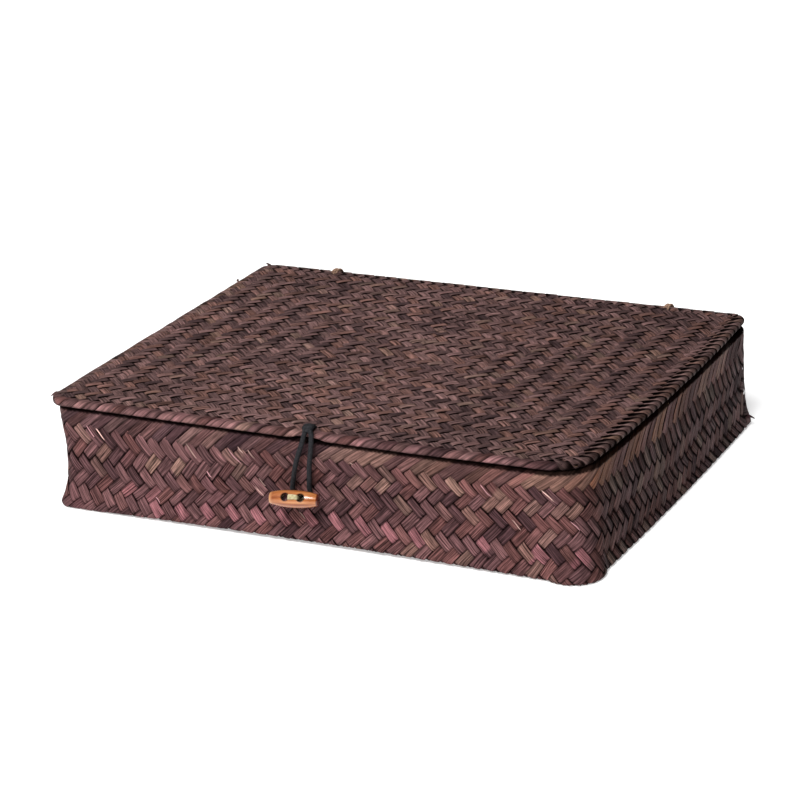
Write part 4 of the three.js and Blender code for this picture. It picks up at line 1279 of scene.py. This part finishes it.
mx3 = nt.nodes.new("ShaderNodeMix"); mx3.data_type = "RGBA"
mx3.inputs["B"].default_value = (*lin(70, 34, 18), 1)
nt.links.new(rng3.outputs[0], mx3.inputs["Factor"]); nt.links.new(mx2.outputs["Result"], mx3.inputs["A"])
nt.links.new(mx3.outputs["Result"], bs.inputs["Base Color"])
bp = nt.nodes.new("ShaderNodeBump"); bp.inputs["Strength"].default_value = 0.12; bp.inputs["Distance"].default_value = 0.0002
nt.links.new(nz.outputs["Fac"], bp.inputs["Height"]); nt.links.new(bp.outputs[0], bs.inputs["Normal"])
toggle.data.materials.clear(); toggle.data.materials.append(MAT_TOG)
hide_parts("toggle"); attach(toggle, "toggle")

# thread through the holes: several strands
R3 = np.array(Rt.to_3x3())


def tl_(x, y, z):
    return R3 @ np.array([x, y, z]) + TOG_C


ms = Mesh()
for si, dz in enumerate((-1.15, -0.42, 0.32, 1.05)):
    e_ = 0.10 * (si % 2)
    p = catmull([tl_(-2.85, 2.0, dz * .6), tl_(-2.85, -2.6, dz * .8), tl_(-2.7, -4.2, dz * .9), tl_(-2.0, -5.25 - e_, dz), tl_(-0.9, -5.48 - e_, dz), tl_(0.9, -5.48 - e_, dz * 0.9 + 0.08),
                 tl_(2.0, -5.25 - e_, dz * .9), tl_(2.7, -4.2, dz * .8), tl_(2.85, -2.6, dz * .7), tl_(2.85, 2.0, dz * .6)], 0.4)
    braid_tube(ms, p, 0.42, sides=10, strands=4, relief=0.05, pitch=1.6)
CX = TOG_C[0]
for s_ in (-1, 1):
    p = catmull([tl_(s_ * 4.4, 2.6, 0), tl_(s_ * 4.2, 4.6, 0), tl_(s_ * 3.6, 6.1, 0), tl_(s_ * 1.6, 6.3, 0),
                 np.array([CX + s_ * 0.7, -136.2, 28.3]), np.array([CX + s_ * .55, -133.0, 28.6]), np.array([CX + s_ * .5, -129.5, 28.6]), np.array([CX + s_ * .9, -127.2, 28.6])], 0.4)
    braid_tube(ms, p, 0.62, sides=10, strands=4, relief=0.06, pitch=2.0)
for k in range(3):
    z_ = 28.6 + (k - 1) * 0.95
    p = catmull([np.array([CX - 2.4, -128.0, z_]), np.array([CX - 1.7, -127.0, z_]), np.array([CX, -126.6, z_]), np.array([CX + 1.7, -127.0, z_]), np.array([CX + 2.4, -128.0, z_])], 0.4)
    braid_tube(ms, p, 0.5, sides=10, strands=4, relief=0.05, pitch=1.6)
o = build_tube(ms, "toggle_sewing", MAT_THREAD)
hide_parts("toggle_thread"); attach(o, "toggle")

# -------------------------------------------------------------------- stage
me = bpy.data.meshes.new("floor")
me.from_pydata([(-7, -7, -0.0002), (7, -7, -0.0002), (7, 7, -0.0002), (-7, 7, -0.0002)], [], [(0, 1, 2, 3)])
floor = bpy.data.objects.new("floor", me)
scene.collection.objects.link(floor)
MAT_FLOOR, nt, bs = basic_material("pale_floor", 0.9, 0.1)
bs.inputs["Base Color"].default_value = (0.88, 0.88, 0.88, 1)
bs.inputs["Emission Color"].default_value = (1, 1, 1, 1)
bs.inputs["Emission Strength"].default_value = 0.42
me.materials.append(MAT_FLOOR)

world = bpy.data.worlds.new("studio")
scene.world = world
world.use_nodes = True
wt = world.node_tree
tcw = wt.nodes.new("ShaderNodeTexCoord")
sx_ = wt.nodes.new("ShaderNodeSeparateXYZ")
wt.links.new(tcw.outputs["Generated"], sx_.inputs[0])
wr = wt.nodes.new("ShaderNodeMapRange")
wr.inputs["From Min"].default_value = -0.6; wr.inputs["From Max"].default_value = 0.5
wr.inputs["To Min"].default_value = 0.40; wr.inputs["To Max"].default_value = 0.0
wt.links.new(sx_.outputs["X"], wr.inputs["Value"])
wt.nodes["Background"].inputs[0].default_value = (1, 1, 1, 1)
wt.links.new(wr.outputs[0], wt.nodes["Background"].inputs[1])


key = bpy.data.lights.new("key", "SUN")
key.energy = 3.9
key.angle = math.radians(30)
key_ob = bpy.data.objects.new("key", key)
key_ob.location = (0, -1.6, 2.2)
key_ob.rotation_euler = Vector((-0.02, 0.60, -0.80)).to_track_quat("-Z", "Y").to_euler()
scene.collection.objects.link(key_ob)

scene.view_settings.view_transform = "Standard"
scene.view_settings.look = "None"
scene.view_settings.exposure = 0.0
